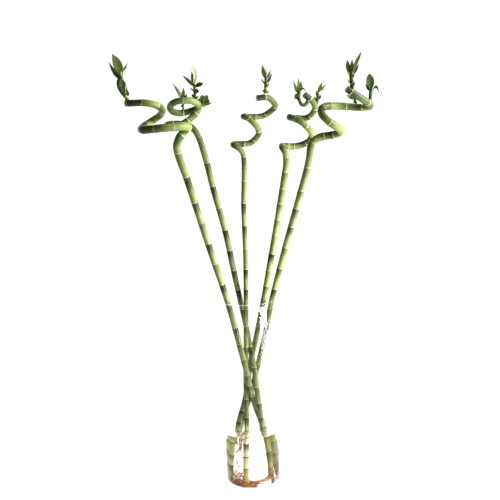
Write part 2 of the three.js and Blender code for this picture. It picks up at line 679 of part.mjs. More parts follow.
function vaseBody() {
  const inner = vaseInnerRadius(VASE_FLOOR + VASE_CORNER);
  const rim = VASE_WALL / 2;
  const outline = [
    [0, 0],
    [VASE_FOOT_RADIUS - 2.5, 0],
    [VASE_FOOT_RADIUS, 2.5],
    [VASE_RIM_RADIUS, VASE_HEIGHT - rim],
    [VASE_RIM_RADIUS - 0.3 * rim, VASE_HEIGHT - 0.3 * rim],
    [VASE_RIM_RADIUS - rim, VASE_HEIGHT],
    [VASE_RIM_RADIUS - 1.7 * rim, VASE_HEIGHT - 0.3 * rim],
    [VASE_RIM_RADIUS - VASE_WALL, VASE_HEIGHT - rim],
    [inner, VASE_FLOOR + VASE_CORNER],
    [inner - 0.3 * VASE_CORNER, VASE_FLOOR + 0.3 * VASE_CORNER],
    [inner - VASE_CORNER, VASE_FLOOR],
    [0, VASE_FLOOR],
  ];
  return toGeometry(toSolid(turned(outline, VASE_SEGMENTS)));
}

// The water stands in plain holes around the canes and over the root mat
function waterBody() {
  let body = insideVase(GAP, WATER_LEVEL).subtract(rootRoom(0));
  for (const cane of CANES) {
    body = body.subtract(caneRoom(cane));
  }
  for (const root of hangingRoots(GAP)) {
    body = body.subtract(root);
  }
  return toGeometry(largestBody(body));
}

// Assembly

const plant = new THREE.Group();

function place(name, geometry, material) {
  const mesh = new THREE.Mesh(geometry, material);
  mesh.name = name;
  plant.add(mesh);
}

place('vase', vaseBody(), MATERIALS.glass);
place('water', waterBody(), MATERIALS.water);
place('root_mat', toGeometry(rootMat()), MATERIALS.root);
for (const cane of CANES) {
  place(cane.name, tube(caneStations(cane, 0), CANE_SIDES), MATERIALS.cane);
}
for (const shoot of SHOOTS) {
  place(shoot.name, toGeometry(shootSolid(shoot)), MATERIALS.shoot);
}

export default plant;
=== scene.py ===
import math

import bpy
import numpy as np
from mathutils import Euler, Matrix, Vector


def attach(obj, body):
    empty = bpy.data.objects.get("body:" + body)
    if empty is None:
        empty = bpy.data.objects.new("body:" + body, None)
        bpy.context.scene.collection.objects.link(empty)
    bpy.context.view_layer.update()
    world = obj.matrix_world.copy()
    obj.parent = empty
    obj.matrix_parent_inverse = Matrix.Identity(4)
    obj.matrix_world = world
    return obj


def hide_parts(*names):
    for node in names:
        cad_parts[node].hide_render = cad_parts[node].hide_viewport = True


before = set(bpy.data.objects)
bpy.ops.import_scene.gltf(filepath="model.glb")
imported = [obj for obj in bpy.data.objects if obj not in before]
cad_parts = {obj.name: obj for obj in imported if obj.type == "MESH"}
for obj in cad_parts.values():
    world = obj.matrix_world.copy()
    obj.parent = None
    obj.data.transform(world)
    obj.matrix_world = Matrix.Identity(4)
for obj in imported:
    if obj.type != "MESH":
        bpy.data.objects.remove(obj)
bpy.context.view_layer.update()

# Vase: a tall cylinder of clear soda-lime glass that opens very slightly to its rim.
# It is blown in a mould, so the base is thick, the inside corner is round and the rim is
# fire-polished to a soft bead. It stands on the outer edge of its foot.
MM = 0.001
VASE_HEIGHT = 400.0
FOOT_RADIUS = 59.0
RIM_RADIUS = 63.0
VASE_WALL = 3.5
VASE_FLOOR = 8.0
FOOT_ROUND = 3.0
RIM_ROUND = 1.9
CORNER_ROUND = 7.0
CORNER_HEIGHT = VASE_FLOOR + CORNER_ROUND + 0.2
# How bright the painted highlight on the rim's bead glows.
BEAD_PAINTED_HIGHLIGHT = 0.25
OUTER_POLISH = 0.3


def vase_outer(z):
    return FOOT_RADIUS + (RIM_RADIUS - FOOT_RADIUS) * z / VASE_HEIGHT


def vase_inner(z):
    return vase_outer(z) - VASE_WALL


def paint(red, green, blue):
    """A colour as a paint chart gives it, 0 to 255, as the linear values that shaders use."""
    values = []
    for value in (red, green, blue):
        share = value / 255
        values.append(share / 12.92 if share <= 0.04045 else ((share + 0.055) / 1.055) ** 2.4)
    return (*values, 1.0)


def arc(centre, radius, start, end, steps):
    """Points of an arc in a lathe outline, angles in degrees from the +radius direction."""
    turn = np.radians(np.linspace(start, end, steps))
    return [(centre[0] + radius * math.cos(a), centre[1] + radius * math.sin(a)) for a in turn]


def wall_faces(rows, sides):
    """Faces that join rings of points, one above the other."""
    faces = []
    for row in range(rows - 1):
        for k in range(sides):
            a = row * sides + k
            b = row * sides + (k + 1) % sides
            faces.append((a, b, b + sides, a + sides))
    return faces


def turned(outline, segments):
    """Vertices and faces of an outline of (radius, height) turned about the vertical axis.
    Its first and last points lie on the axis."""
    rings = np.array(outline[1:-1])
    turn = np.linspace(0, 2 * math.pi, segments, endpoint=False)
    x = rings[:, :1] * np.cos(turn)
    y = rings[:, :1] * np.sin(turn)
    z = np.repeat(rings[:, 1:], segments, axis=1)
    verts = np.stack([x, y, z], axis=2).reshape(-1, 3)
    first = len(verts)
    verts = np.vstack([verts, [0, 0, outline[0][1]], [0, 0, outline[-1][1]]])
    faces = wall_faces(len(rings), segments)
    last = (len(rings) - 1) * segments
    for k in range(segments):
        after = (k + 1) % segments
        faces.append((first, after, k))
        faces.append((first + 1, last + k, last + after))
    return verts, faces


def new_object(name, data):
    """An object in the scene that shows a mesh, or is a lamp or a camera."""
    made = bpy.data.objects.new(name, data)
    bpy.context.collection.objects.link(made)
    return made


def make_piece(name, verts, faces, material, node, values=None):
    """A smooth mesh piece that stands for a solid of the frame. verts are in millimetres.
    values holds numbers, or vectors, for each vertex that the material reads by name."""
    mesh = bpy.data.meshes.new(name)
    mesh.from_pydata((np.asarray(verts) * MM).tolist(), [], faces)
    for label, data in (values or {}).items():
        data = np.asarray(data, dtype=np.float32)
        kind = "FLOAT" if data.ndim == 1 else "FLOAT_VECTOR"
        layer = mesh.attributes.new(label, kind, "POINT")
        layer.data.foreach_set("value" if data.ndim == 1 else "vector", data.ravel())
    mesh.shade_smooth()
    mesh.materials.append(material)
    piece = new_object(name, mesh)
    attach(piece, "root")
    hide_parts(node)
    return piece


def new_material(name, **sockets):
    """A material with one Principled shader, whose sockets are set by name."""
    material = bpy.data.materials.new(name)
    material.use_nodes = True
    shader = material.node_tree.nodes["Principled BSDF"]
    for label, value in sockets.items():
        shader.inputs[label.replace("_", " ")].default_value = value
    return material, material.node_tree, shader


def add_node(tree, kind, inputs=None, **settings):
    """A node with its settings, its inputs set to values or linked to other nodes' outputs."""
    node = tree.nodes.new(kind)
    for label, value in settings.items():
        setattr(node, label, value)
    for label, value in (inputs or {}).items():
        if isinstance(value, bpy.types.NodeSocket):
            tree.links.new(value, node.inputs[label])
        else:
            node.inputs[label].default_value = value
    return node


def feed(tree, shader, **outputs):
    """Links outputs of nodes to the sockets of a shader, which are named."""
    for label, output in outputs.items():
        tree.links.new(output, shader.inputs[label.replace("_", " ")])


def add_noise(tree, vector, scale, detail=3.0, stretch=(1, 1, 1)):
    """Noise from 0 to 1 over a vector that is stretched first; returns its output."""
    place = add_node(tree, "ShaderNodeVectorMath", {0: vector, 1: stretch}, operation="MULTIPLY")
    noise = add_node(tree, "ShaderNodeTexNoise",
                     {"Vector": place.outputs[0], "Scale": scale, "Detail": detail})
    return noise.outputs["Fac"]


def add_bump(tree, shader, height, strength, distance):
    """Relief in the shader's surface. distance is in metres."""
    bump = add_node(tree, "ShaderNodeBump",
                    {"Height": height, "Strength": strength, "Distance": distance})
    feed(tree, shader, Normal=bump.outputs["Normal"])


def add_range(tree, value, start, end, first=0.0, last=1.0, **settings):
    """A number that runs from first to last, and no further, while value runs from start to
    end."""
    node = add_node(tree, "ShaderNodeMapRange", {
        "Value": value, "From Min": start, "From Max": end, "To Min": first, "To Max": last,
    }, **settings)
    return node.outputs[0]


def read_value(tree, name):
    """A number that the piece's mesh holds for each vertex."""
    node = add_node(tree, "ShaderNodeAttribute", attribute_name=name)
    return node.outputs["Fac"]


# Outline, from the hollow under the base, up the outer wall, over the rim and down inside.
outline = [(0, 1.6), (20, 1.5), (40, 1.0), (50, 0.4), (54, 0.1), (55.5, 0.0)]
outline += arc((vase_outer(FOOT_ROUND) - FOOT_ROUND, FOOT_ROUND), FOOT_ROUND, -80, 0, 7)
outline += [(vase_outer(z), z) for z in np.linspace(10, VASE_HEIGHT - 8, 30)]
rim_centre = (vase_outer(VASE_HEIGHT - 2) - RIM_ROUND + 0.05, VASE_HEIGHT - RIM_ROUND)
outline += arc(rim_centre, RIM_ROUND, 0, 180, 13)
outline += [(vase_inner(z), z) for z in np.linspace(VASE_HEIGHT - 8, 22, 30)]
corner_centre = (vase_inner(14) - CORNER_ROUND, CORNER_HEIGHT)
outline += arc(corner_centre, CORNER_ROUND, 0, -82, 9)
outline += [(42, VASE_FLOOR + 0.1), (30, VASE_FLOOR + 0.05), (15, VASE_FLOOR), (0, VASE_FLOOR)]
verts, faces = turned(outline, 160)
glass, tree, shader = new_material("glass", Base_Color=(0.985, 0.995, 0.99, 1), Roughness=0.01,
                                   IOR=1.02, Transmission_Weight=1.0,
                                   Coat_Roughness=0.02, Coat_IOR=1.5,
                                   Emission_Color=(1, 1, 1, 1))
where = add_node(tree, "ShaderNodeTexCoord").outputs["Object"]
draw = add_noise(tree, where, 9.0, 2.0, stretch=(1, 1, 0.35))
add_bump(tree, shader, draw, 0.05, 0.002)
# The bead of the rim glows with a painted highlight, and only the outer face mirrors the lamps.
feed(tree, shader, Emission_Strength=read_value(tree, "bead"),
     Coat_Weight=read_value(tree, "outside"))
radius, height = np.hypot(verts[:, 0], verts[:, 1]), verts[:, 2]
make_piece("vase", verts, faces, glass, "vase", {
    "bead": BEAD_PAINTED_HIGHLIGHT * (height > VASE_HEIGHT - 1.2),
    "outside": OUTER_POLISH * (radius > vase_outer(height) - 1),
})

# Canes: five stems of lucky bamboo, round and fleshy, with a pale scar ring at every node.
# The growers turned them towards the light to wind their tops. Each internode is dark
# under the ring above it and fades to yellow-green, and the sawn ends have dried pale.

# A row holds a cane's name, the centreline of its stalk and of its wound top, the heights
# of the stalk's rings with how dark the stem is under each, the length from the last of
# them to each ring of the wound top with how light the stem is past it, which is partly its
# own tone and partly painted shade on the turns and ends that lie in shade, and its radii:
# at the foot, at 0.45 and 0.75 of the way to the neck, at the neck, in the wound top and at
# the sawn end. All sizes are in millimetres.
CANES = [
    ("cane_front_left",
     [(34, 24, 9.2), (30, 17, 62), (26, 12, 110), (13, 6, 155), (3, -3, 194), (-5, -15, 243),
      (-19, -24, 312), (-38, -35, 400), (-63, -54, 495), (-83, -72, 572), (-105, -96, 661),
      (-118, -108, 707)],
     [(-120, -113, 724), (-115, -115, 737), (-108, -111, 747), (-101, -112, 754),
      (-97, -120, 759), (-101, -133, 761), (-114, -148, 761), (-138, -156, 760),
      (-165, -146, 758), (-179, -133, 757), (-184, -117, 758), (-180, -99, 763),
      (-168, -86, 771), (-154, -90, 779), (-144, -108, 788), (-144, -123, 795),
      (-151, -135, 801), (-163, -141, 805), (-177, -141, 807), (-192, -137, 807),
      (-208, -130, 807)],
     [(34, 0.3), (59, 0.2), (86, 0.3), (112, 0.3), (136, 0.5), (161, 0.4), (192, 0.4), (219, 0.7),
      (242, 0.4), (277, 0.6), (312, 0.6), (347, 0.8), (397, 0.6), (440, 1.1), (485, 0.5),
      (528, 0.8), (571, 0.5), (613, 0.9), (664, 1.1), (711, 0.6)],
     [(35, 0), (61, 0.5), (104, 0), (138, -0.7), (168, -0.3), (209, 0.5), (238, -0.1), (267, 0),
      (296, 0.4), (325, -0.7), (354, -0.5)],
     (5.8, 5.9, 6.3, 6.9, 7.7, 6.2)),
    ("cane_back_left",
     [(34, -26, 9.2), (30, -19, 62), (23, -13, 120), (17, -9, 179), (13.5, -3, 210), (10, 6, 251),
      (3, 20, 291), (-3, 34, 329), (-11, 45, 372), (-22, 54, 429), (-40, 70, 531),
      (-63, 83, 626), (-73, 91, 675), (-80, 95, 703), (-88, 99, 730)],
     [(-98, 102, 747), (-109, 104, 755), (-124, 104, 759), (-139, 100, 760), (-148, 93, 760),
      (-151, 84, 759), (-146, 76, 758), (-134, 72, 757), (-120, 73, 760), (-107, 76, 767),
      (-97, 81, 775), (-89, 84, 783), (-85, 83, 791), (-85, 77, 798), (-90, 68, 803),
      (-100, 59, 807), (-114, 53, 808), (-130, 57, 806), (-141, 69, 800), (-144, 83, 793),
      (-140, 97, 786), (-128, 107, 782), (-114, 111, 783), (-101, 110, 786), (-89, 106, 790)],
     [(39, 0.2), (74, 0.4), (105, 0.3), (127, 0.5), (148, 0.6), (178, 0.6), (210, 0.7),
      (251, 0.5), (291, 0.6), (330, 0.7), (367, 0.6), (408, 0.8), (449, 0.8), (490, 0.8),
      (533, 0.9), (580, 0.4), (626, 1), (675, 0.7), (730, 0.5)],
     [(36, 0), (70, 0), (104, 0), (137, -0.1), (160, 0.1), (182, 0.5), (224, -0.3),
      (250, -0.3), (275, 0.1), (316, -0.7)],
     (5.4, 5.7, 6.2, 6.5, 7.0, 6.6)),
    ("cane_back_centre",
     [(-14, -26, 9.2), (-12, -24, 62), (-10, -20, 123), (-9, -10, 176), (-9, 5, 216),
      (-6, 9, 283), (-3, 22, 353), (-1, 40, 410), (1, 58, 494), (1, 78, 587), (4, 86, 636),
      (5, 91, 683)],
     [(3, 90, 694), (-2, 85, 702), (-9, 82, 708), (-15, 85, 712), (-16, 93, 713),
      (-10, 101, 713), (3, 106, 712), (20, 107, 714), (31, 102, 722), (39, 90, 735),
      (35, 80, 748), (26, 74, 759), (18, 74, 766), (11, 78, 769), (8, 86, 770), (10, 95, 770),
      (19, 103, 769), (33, 109, 768), (51, 112, 770), (66, 106, 779), (75, 92, 789),
      (70, 82, 799), (62, 75, 806), (53, 70, 808), (37, 65, 807)],
     [(43, 0.3), (68, 0.1), (96, 0.9), (122, 0.1), (150, 0.8), (185, 0.5), (216, 0.4), (252, 0.6),
      (294, 0.4), (335, 0.6), (370, 0.5), (411, 0.8), (452, 1), (494, 0.15), (541, 0.8), (588, 1),
      (635, 0.1), (686, 1)],
     [(37, -0.3), (73, 0.2), (99, 0), (127, 0.1), (163, -0.2), (190, 0), (218, 0.3),
      (242, -0.2), (276, -0.1), (313, -1)],
     (5.0, 5.0, 5.1, 5.5, 6.3, 6.0)),
    ("cane_back_right",
     [(-41.5, -8, 9.2), (-36.5, -7, 62), (-28, -3, 129), (-12, 8, 180), (-5, 18, 215),
      (3, 27, 257), (14, 32, 298), (34, 34, 381), (56, 51, 482), (69, 64, 542), (88, 79, 635),
      (94, 83, 668)],
     [(94, 82, 684), (92, 79, 693), (88, 79, 701), (86, 85, 705), (89, 94, 705), (98, 102, 704),
      (111, 107, 703), (128, 111, 705), (143, 106, 712), (150, 92, 724), (147, 79, 734),
      (138, 68, 745), (127, 63, 755), (116, 65, 761), (107, 71, 764), (104, 80, 765),
      (106, 91, 765), (114, 100, 763), (125, 107, 762), (138, 110, 761), (148, 107, 765),
      (156, 98, 775), (158, 87, 783), (155, 78, 792), (148, 71, 800), (136, 63, 810)],
     [(44, 0.8), (67, 0.7), (94, 0.3), (116, 0.7), (137, 0.75), (159, 0.9), (187, 1), (216, 0.6),
      (248, 0.4), (277, 0.5), (303, 0.3), (332, 0.5), (361, 0.4), (390, 0.4), (416, 0.7),
      (448, 0.2), (483, 1), (520, 0.1), (552, 0.3), (584, 0.5), (616, 0.15), (651, 0.4),
      (684, 0.3)],
     [(22, 0), (48, 0.4), (63, -0.2), (93, -0.3), (123, 0.5), (154, -0.3), (182, -0.3),
      (210, 0.2), (238, -0.3), (264, 0), (292, -0.1), (322, -1)],
     (5.4, 5.8, 6.5, 6.8, 6.8, 6.2)),
    ("cane_front_right",
     [(-32, 27, 9.2), (-29, 25, 62), (-22, 22, 119), (-1, 21, 185), (19, 19, 255), (29, 15, 292),
      (39, 8, 338), (52, 1, 395), (69, -13, 460), (95, -36, 553), (116, -54, 626),
      (128, -64, 669), (133, -67, 693)],
     [(135, -66, 707), (139, -63, 717), (147, -59, 724), (157, -56, 728), (169, -55, 730),
      (183, -61, 732), (193, -73, 737), (194, -86, 741), (185, -99, 747), (173, -107, 755),
      (162, -106, 765), (156, -98, 774), (157, -86, 781), (164, -73, 786), (177, -61, 787),
      (194, -53, 786), (213, -51, 784), (230, -55, 782), (244, -65, 782), (251, -79, 784),
      (247, -92, 789), (234, -104, 797), (220, -112, 806), (203, -117, 818)],
     [(40, 0.8), (66, 0.7), (90, 0.4), (114, 0.6), (149, 1.3), (185, 1), (220, 0.5), (255, 0.6),
      (292, 0.4), (336, 0.6), (377, 0.5), (420, 0.9), (465, 0.7), (508, 0.4), (553, 0.8),
      (589, 0.7), (626, 0.5), (671, 0.3), (716, 0.4)],
     [(29, -0.4), (52, -0.3), (74, 0.6), (119, -0.2), (162, -0.1), (190, 0.2), (225, -0.3),
      (259, 0.1), (302, -0.45), (346, -1)],
     (5.4, 5.6, 6.3, 6.6, 7.4, 6.6)),
]
# How pale the water has turned a cane, which also sets how much painted light lightens it
# under water, and how much bark its foot has.
SOAKED = {
    "cane_back_centre": (1.0, 0.1),
    "cane_back_right": (0.85, 0.6),
    "cane_front_right": (0.85, 0.6),
}
STILL_GREEN = (0.0, 0.65)
CANE_SIDES = 40
CURVE_STEPS = 60
# Rows of the mesh before and after a ring, and those of a sawn end with their depths.
RING_ROWS = [-5, -3, -1.8, -1.0, -0.5, 0, 0.4, 0.8, 1.4, 2.2, 3.4, 5.5]
SAWN_ROWS = np.array([(0.965, 0.35), (0.9, 0.5), (0.6, 0.45), (0.25, 0.35), (0.02, 0.3)])


def smooth(value):
    """0 below 0, 1 above 1, and an even S between them."""
    share = np.clip(value, 0, 1)
    return share * share * (3 - 2 * share)


def curve_through(points, steps=CURVE_STEPS):
    """A smooth curve through points: its places, and their distances along it."""
    p = np.array(points, float)
    p = np.vstack([2 * p[0] - p[1], p, 2 * p[-1] - p[-2]])
    places = []
    for before, start, end, after in zip(p[:-3], p[1:-2], p[2:-1], p[3:]):
        d0, d1, d2 = (math.sqrt(np.linalg.norm(b - a)) for a, b in
                      ((before, start), (start, end), (end, after)))
        leave = ((start - before) / d0 - (end - before) / (d0 + d1) + (end - start) / d1) * d1
        reach = ((end - start) / d1 - (after - start) / (d1 + d2) + (after - end) / d2) * d1
        t = np.linspace(0, 1, steps, endpoint=False)[:, None]
        places.append(start + leave * t + (3 * (end - start) - 2 * leave - reach) * t ** 2
                      + (2 * (start - end) + leave + reach) * t ** 3)
    places = np.vstack([*places, p[-2:-1]])
    along = np.concatenate([[0], np.cumsum(np.linalg.norm(np.diff(places, axis=0), axis=1))])
    return places, along


def frames_along(curve, lengths):
    """Centre, direction and two side directions at lengths along a curve, without twist."""
    places, along = curve
    centre = np.stack([np.interp(lengths, along, places[:, k]) for k in range(3)], axis=1)
    step = 0.4
    ahead = np.stack([np.interp(lengths + step, along, places[:, k]) for k in range(3)], axis=1)
    behind = np.stack([np.interp(lengths - step, along, places[:, k]) for k in range(3)], axis=1)
    direction = ahead - behind
    direction /= np.linalg.norm(direction, axis=1)[:, None]
    side = np.zeros_like(direction)
    last = np.array([1.0, 0, 0])
    for k, heading in enumerate(direction):
        last = last - heading * (last @ heading)
        last /= np.linalg.norm(last)
        side[k] = last
    return centre, direction, side, np.cross(direction, side)


def around(centre, side, across, radius, turn):
    """Rings of points about the centres, at the angles of turn. radius has a row for each
    centre, and a column for each angle or one for them all."""
    return (centre[:, None, :] + radius[:, :, None] * (np.cos(turn)[:, None] * side[:, None, :]
            + np.sin(turn)[:, None] * across[:, None, :]))


def tube_faces(rows, sides):
    """Faces that join rings of points into a tube, closed at both ends."""
    first = tuple(range(sides))[::-1]
    last = tuple((rows - 1) * sides + k for k in range(sides))
    return wall_faces(rows, sides) + [first, last]


def ring_lengths(stalk_rings, top_rings, curve):
    """Distances along the cane of its rings, on the stalk and in the wound top."""
    places, along = curve
    rings = [along[np.argmax(places[:, 2] >= height)] for height, _ in stalk_rings]
    return np.array(rings + [rings[-1] + length for length, _ in top_rings])


def row_lengths(rings, total):
    """Distances along the cane of its mesh's rows, which lie close together at a ring."""
    marks = np.concatenate([np.arange(0, total, 3.0), [total]]
                           + [rings + offset for offset in RING_ROWS])
    marks = np.unique(np.round(marks[(marks >= 0) & (marks <= total)], 2))
    return marks[np.concatenate([[True], np.diff(marks) > 0.25])]


def cane_girth(radii, lengths, neck, total):
    """The cane's radius at lengths along it, which runs evenly from one of radii to the next."""
    marks = [0, neck * 0.45, neck * 0.75, neck, neck + 55, total]
    girth = np.full(len(lengths), float(radii[-1]))
    for k in range(5, 0, -1):
        share = smooth((lengths - marks[k - 1]) / (marks[k] - marks[k - 1]))
        here = radii[k - 1] + (radii[k] - radii[k - 1]) * share
        girth = np.where(lengths <= marks[k], here, girth)
    return girth


def leaf_scars(marks, rings, girth, turn, rng):
    """How much of an old leaf's scar each point has. Every other ring or so has one above it."""
    scar = np.zeros((len(marks), len(turn)))
    for ring in rings:
        if rng.random() < 0.5:
            angle = rng.uniform(0, 2 * math.pi)
            away = np.abs((turn - angle + math.pi) % (2 * math.pi) - math.pi) * girth[:, None]
            lift = marks[:, None] - ring - 2.4
            scar = np.maximum(scar, np.exp(-(away / 1.5) ** 2 - (lift / 1.2) ** 2))
    return scar


def cane_mesh(cane, sprouts, seed):
    """A cane's mesh, with what its material reads at each vertex: how far it is between
    rings, how near a ring or a scar, whether on a sawn end, its place along the grain, how
    pale the water has turned the cane, which also sets its painted light under water, and
    how barked it is."""
    name, stalk, top, stalk_rings, top_rings, radii = cane
    rng = np.random.default_rng(seed)
    curve = curve_through(stalk + top)
    total = curve[1][-1]
    neck = np.interp(len(stalk) - 1, np.arange(len(curve[1])) / CURVE_STEPS, curve[1])
    rings = ring_lengths(stalk_rings, top_rings, curve)
    marks = row_lengths(rings, total)

    # Each internode runs from one ring to the next, and has its own shade: a random tone on
    # the stalk, and in the wound top a listed value that is partly tone and partly painted shade.
    light = np.concatenate([[0], rng.uniform(-0.15, 0.15, len(stalk_rings)),
                            [value for _, value in top_rings]])
    depth = np.array([value for _, value in stalk_rings] + [1.0] * (len(top_rings) + 1))
    after = np.clip(np.searchsorted(rings, marks, side="right"), 0, len(rings))
    ends = np.concatenate([[rings[0] - 30], rings, [max(total, rings[-1] + 26)]])
    lower, upper = ends[after], ends[after + 1]
    between = (marks - lower) / (upper - lower)
    shade, dark = light[after], depth[after]

    # The stem swells below a ring, is drawn in above it, and bulges at the ring itself.
    nearest = np.min(np.abs(marks[:, None] - rings), axis=1)
    above = np.where(after > 0, marks - lower, 99)
    below = np.where(after < len(rings), upper - marks, 99)
    girth = cane_girth(radii, marks, neck, total)
    girth = girth * (1 + 0.035 * np.exp(-(below / 5) ** 2) - 0.03 * np.exp(-above / 7)
                     + 0.05 * np.exp(-(nearest / 1.0) ** 2))
    centre, direction, side, across = frames_along(curve, marks)
    turn = np.linspace(0, 2 * math.pi, CANE_SIDES, endpoint=False)
    phase = rng.uniform(0, 6.28, 6)
    wave = (0.012 * np.sin(2 * turn + marks[:, None] / 37 + phase[0])
            + 0.008 * np.sin(3 * turn + marks[:, None] / 19 + phase[1])
            + 0.006 * np.sin(turn + marks[:, None] / 11 + phase[2]))
    radius = girth[:, None] * (1 + wave)
    scar = leaf_scars(marks, rings, girth, turn, rng)
    shape = around(centre, side, across, radius, turn)
    for sprout in sprouts:
        away = np.linalg.norm(shape - np.array(sprout), axis=2)
        scar = np.maximum(scar, 0.9 * np.exp(-(away / 4.6) ** 4))
    shape += (0.5 * scar)[:, :, None] * (shape - centre[:, None, :]) / radius[:, :, None]

    # Both sawn ends are drawn in by a few rows and have dried alike.
    grain = np.stack([girth[:, None] * np.cos(turn), girth[:, None] * np.sin(turn),
                      np.repeat(marks[:, None], CANE_SIDES, axis=1)], axis=2)
    looks = np.stack([np.repeat(value[:, None], CANE_SIDES, axis=1) for value in
                      (between, np.exp(-(nearest / 0.9) ** 2), marks / total, shade, dark)]
                     + [scar, np.zeros_like(scar)], axis=2)
    foot_end, top_end = (
        centre[end] + (shape[end] - centre[end]) * SAWN_ROWS[:, :1, None]
        + direction[end] * SAWN_ROWS[:, 1:, None] * way for end, way in ((0, -1), (-1, 1)))
    sawn_grain = grain[:1] * SAWN_ROWS[:, :1, None]
    sawn_looks = np.repeat(looks[:1], len(SAWN_ROWS), axis=0)
    sawn_looks[:, :, -1] = 1
    shape = np.vstack([foot_end[::-1], shape, top_end])
    grain = np.vstack([sawn_grain[::-1], grain, sawn_grain]).reshape(-1, 3)
    looks = np.vstack([sawn_looks, looks, sawn_looks]).reshape(-1, 7)
    values = dict(zip(("between", "ring", "share", "shade", "dark", "scar", "sawn"), looks.T))
    values["grain"] = grain * MM
    # How pale the water has turned the cane, which also sets its painted light under water.
    bleach_and_painted_light, bark = SOAKED.get(name, STILL_GREEN)
    values["bleach_and_painted_light"] = np.full(len(looks), bleach_and_painted_light)
    values["bark"] = np.full(len(looks), bark)
    return shape.reshape(-1, 3), tube_faces(len(shape), CANE_SIDES), values


def add_ramp(tree, value, stops):
    """A colour for each value, that runs through stops of (position, colour)."""
    node = add_node(tree, "ShaderNodeValToRGB", {"Fac": value})
    ramp = node.color_ramp
    while len(ramp.elements) < len(stops):
        ramp.elements.new(0.5)
    for element, (position, colour) in zip(ramp.elements, stops):
        element.position = position
        element.color = colour
    return node.outputs["Color"]


def add_fade(tree, value, *stops):
    """A grey for each value, that runs through stops of (position, brightness)."""
    return add_ramp(tree, value, [(position, (grey, grey, grey, 1)) for position, grey in stops])


def add_math(tree, operation, a, b=0.0, c=0.0):
    node = add_node(tree, "ShaderNodeMath", {0: a, 1: b, 2: c}, operation=operation)
    return node.outputs[0]


def add_mix(tree, amount, a, b, blend="MIX"):
    """Colour a with an amount of colour b laid over it."""
    node = add_node(tree, "ShaderNodeMix", data_type="RGBA", blend_type=blend)
    for label, value in (("Factor_Float", amount), ("A_Color", a), ("B_Color", b)):
        socket = next(s for s in node.inputs if s.identifier == label)
        if isinstance(value, bpy.types.NodeSocket):
            tree.links.new(value, socket)
        else:
            socket.default_value = value
    return next(s for s in node.outputs if s.identifier == "Result_Color")


def add_product(tree, a, b):
    """Colour a multiplied by colour b."""
    return add_mix(tree, 1.0, a, b, blend="MULTIPLY")


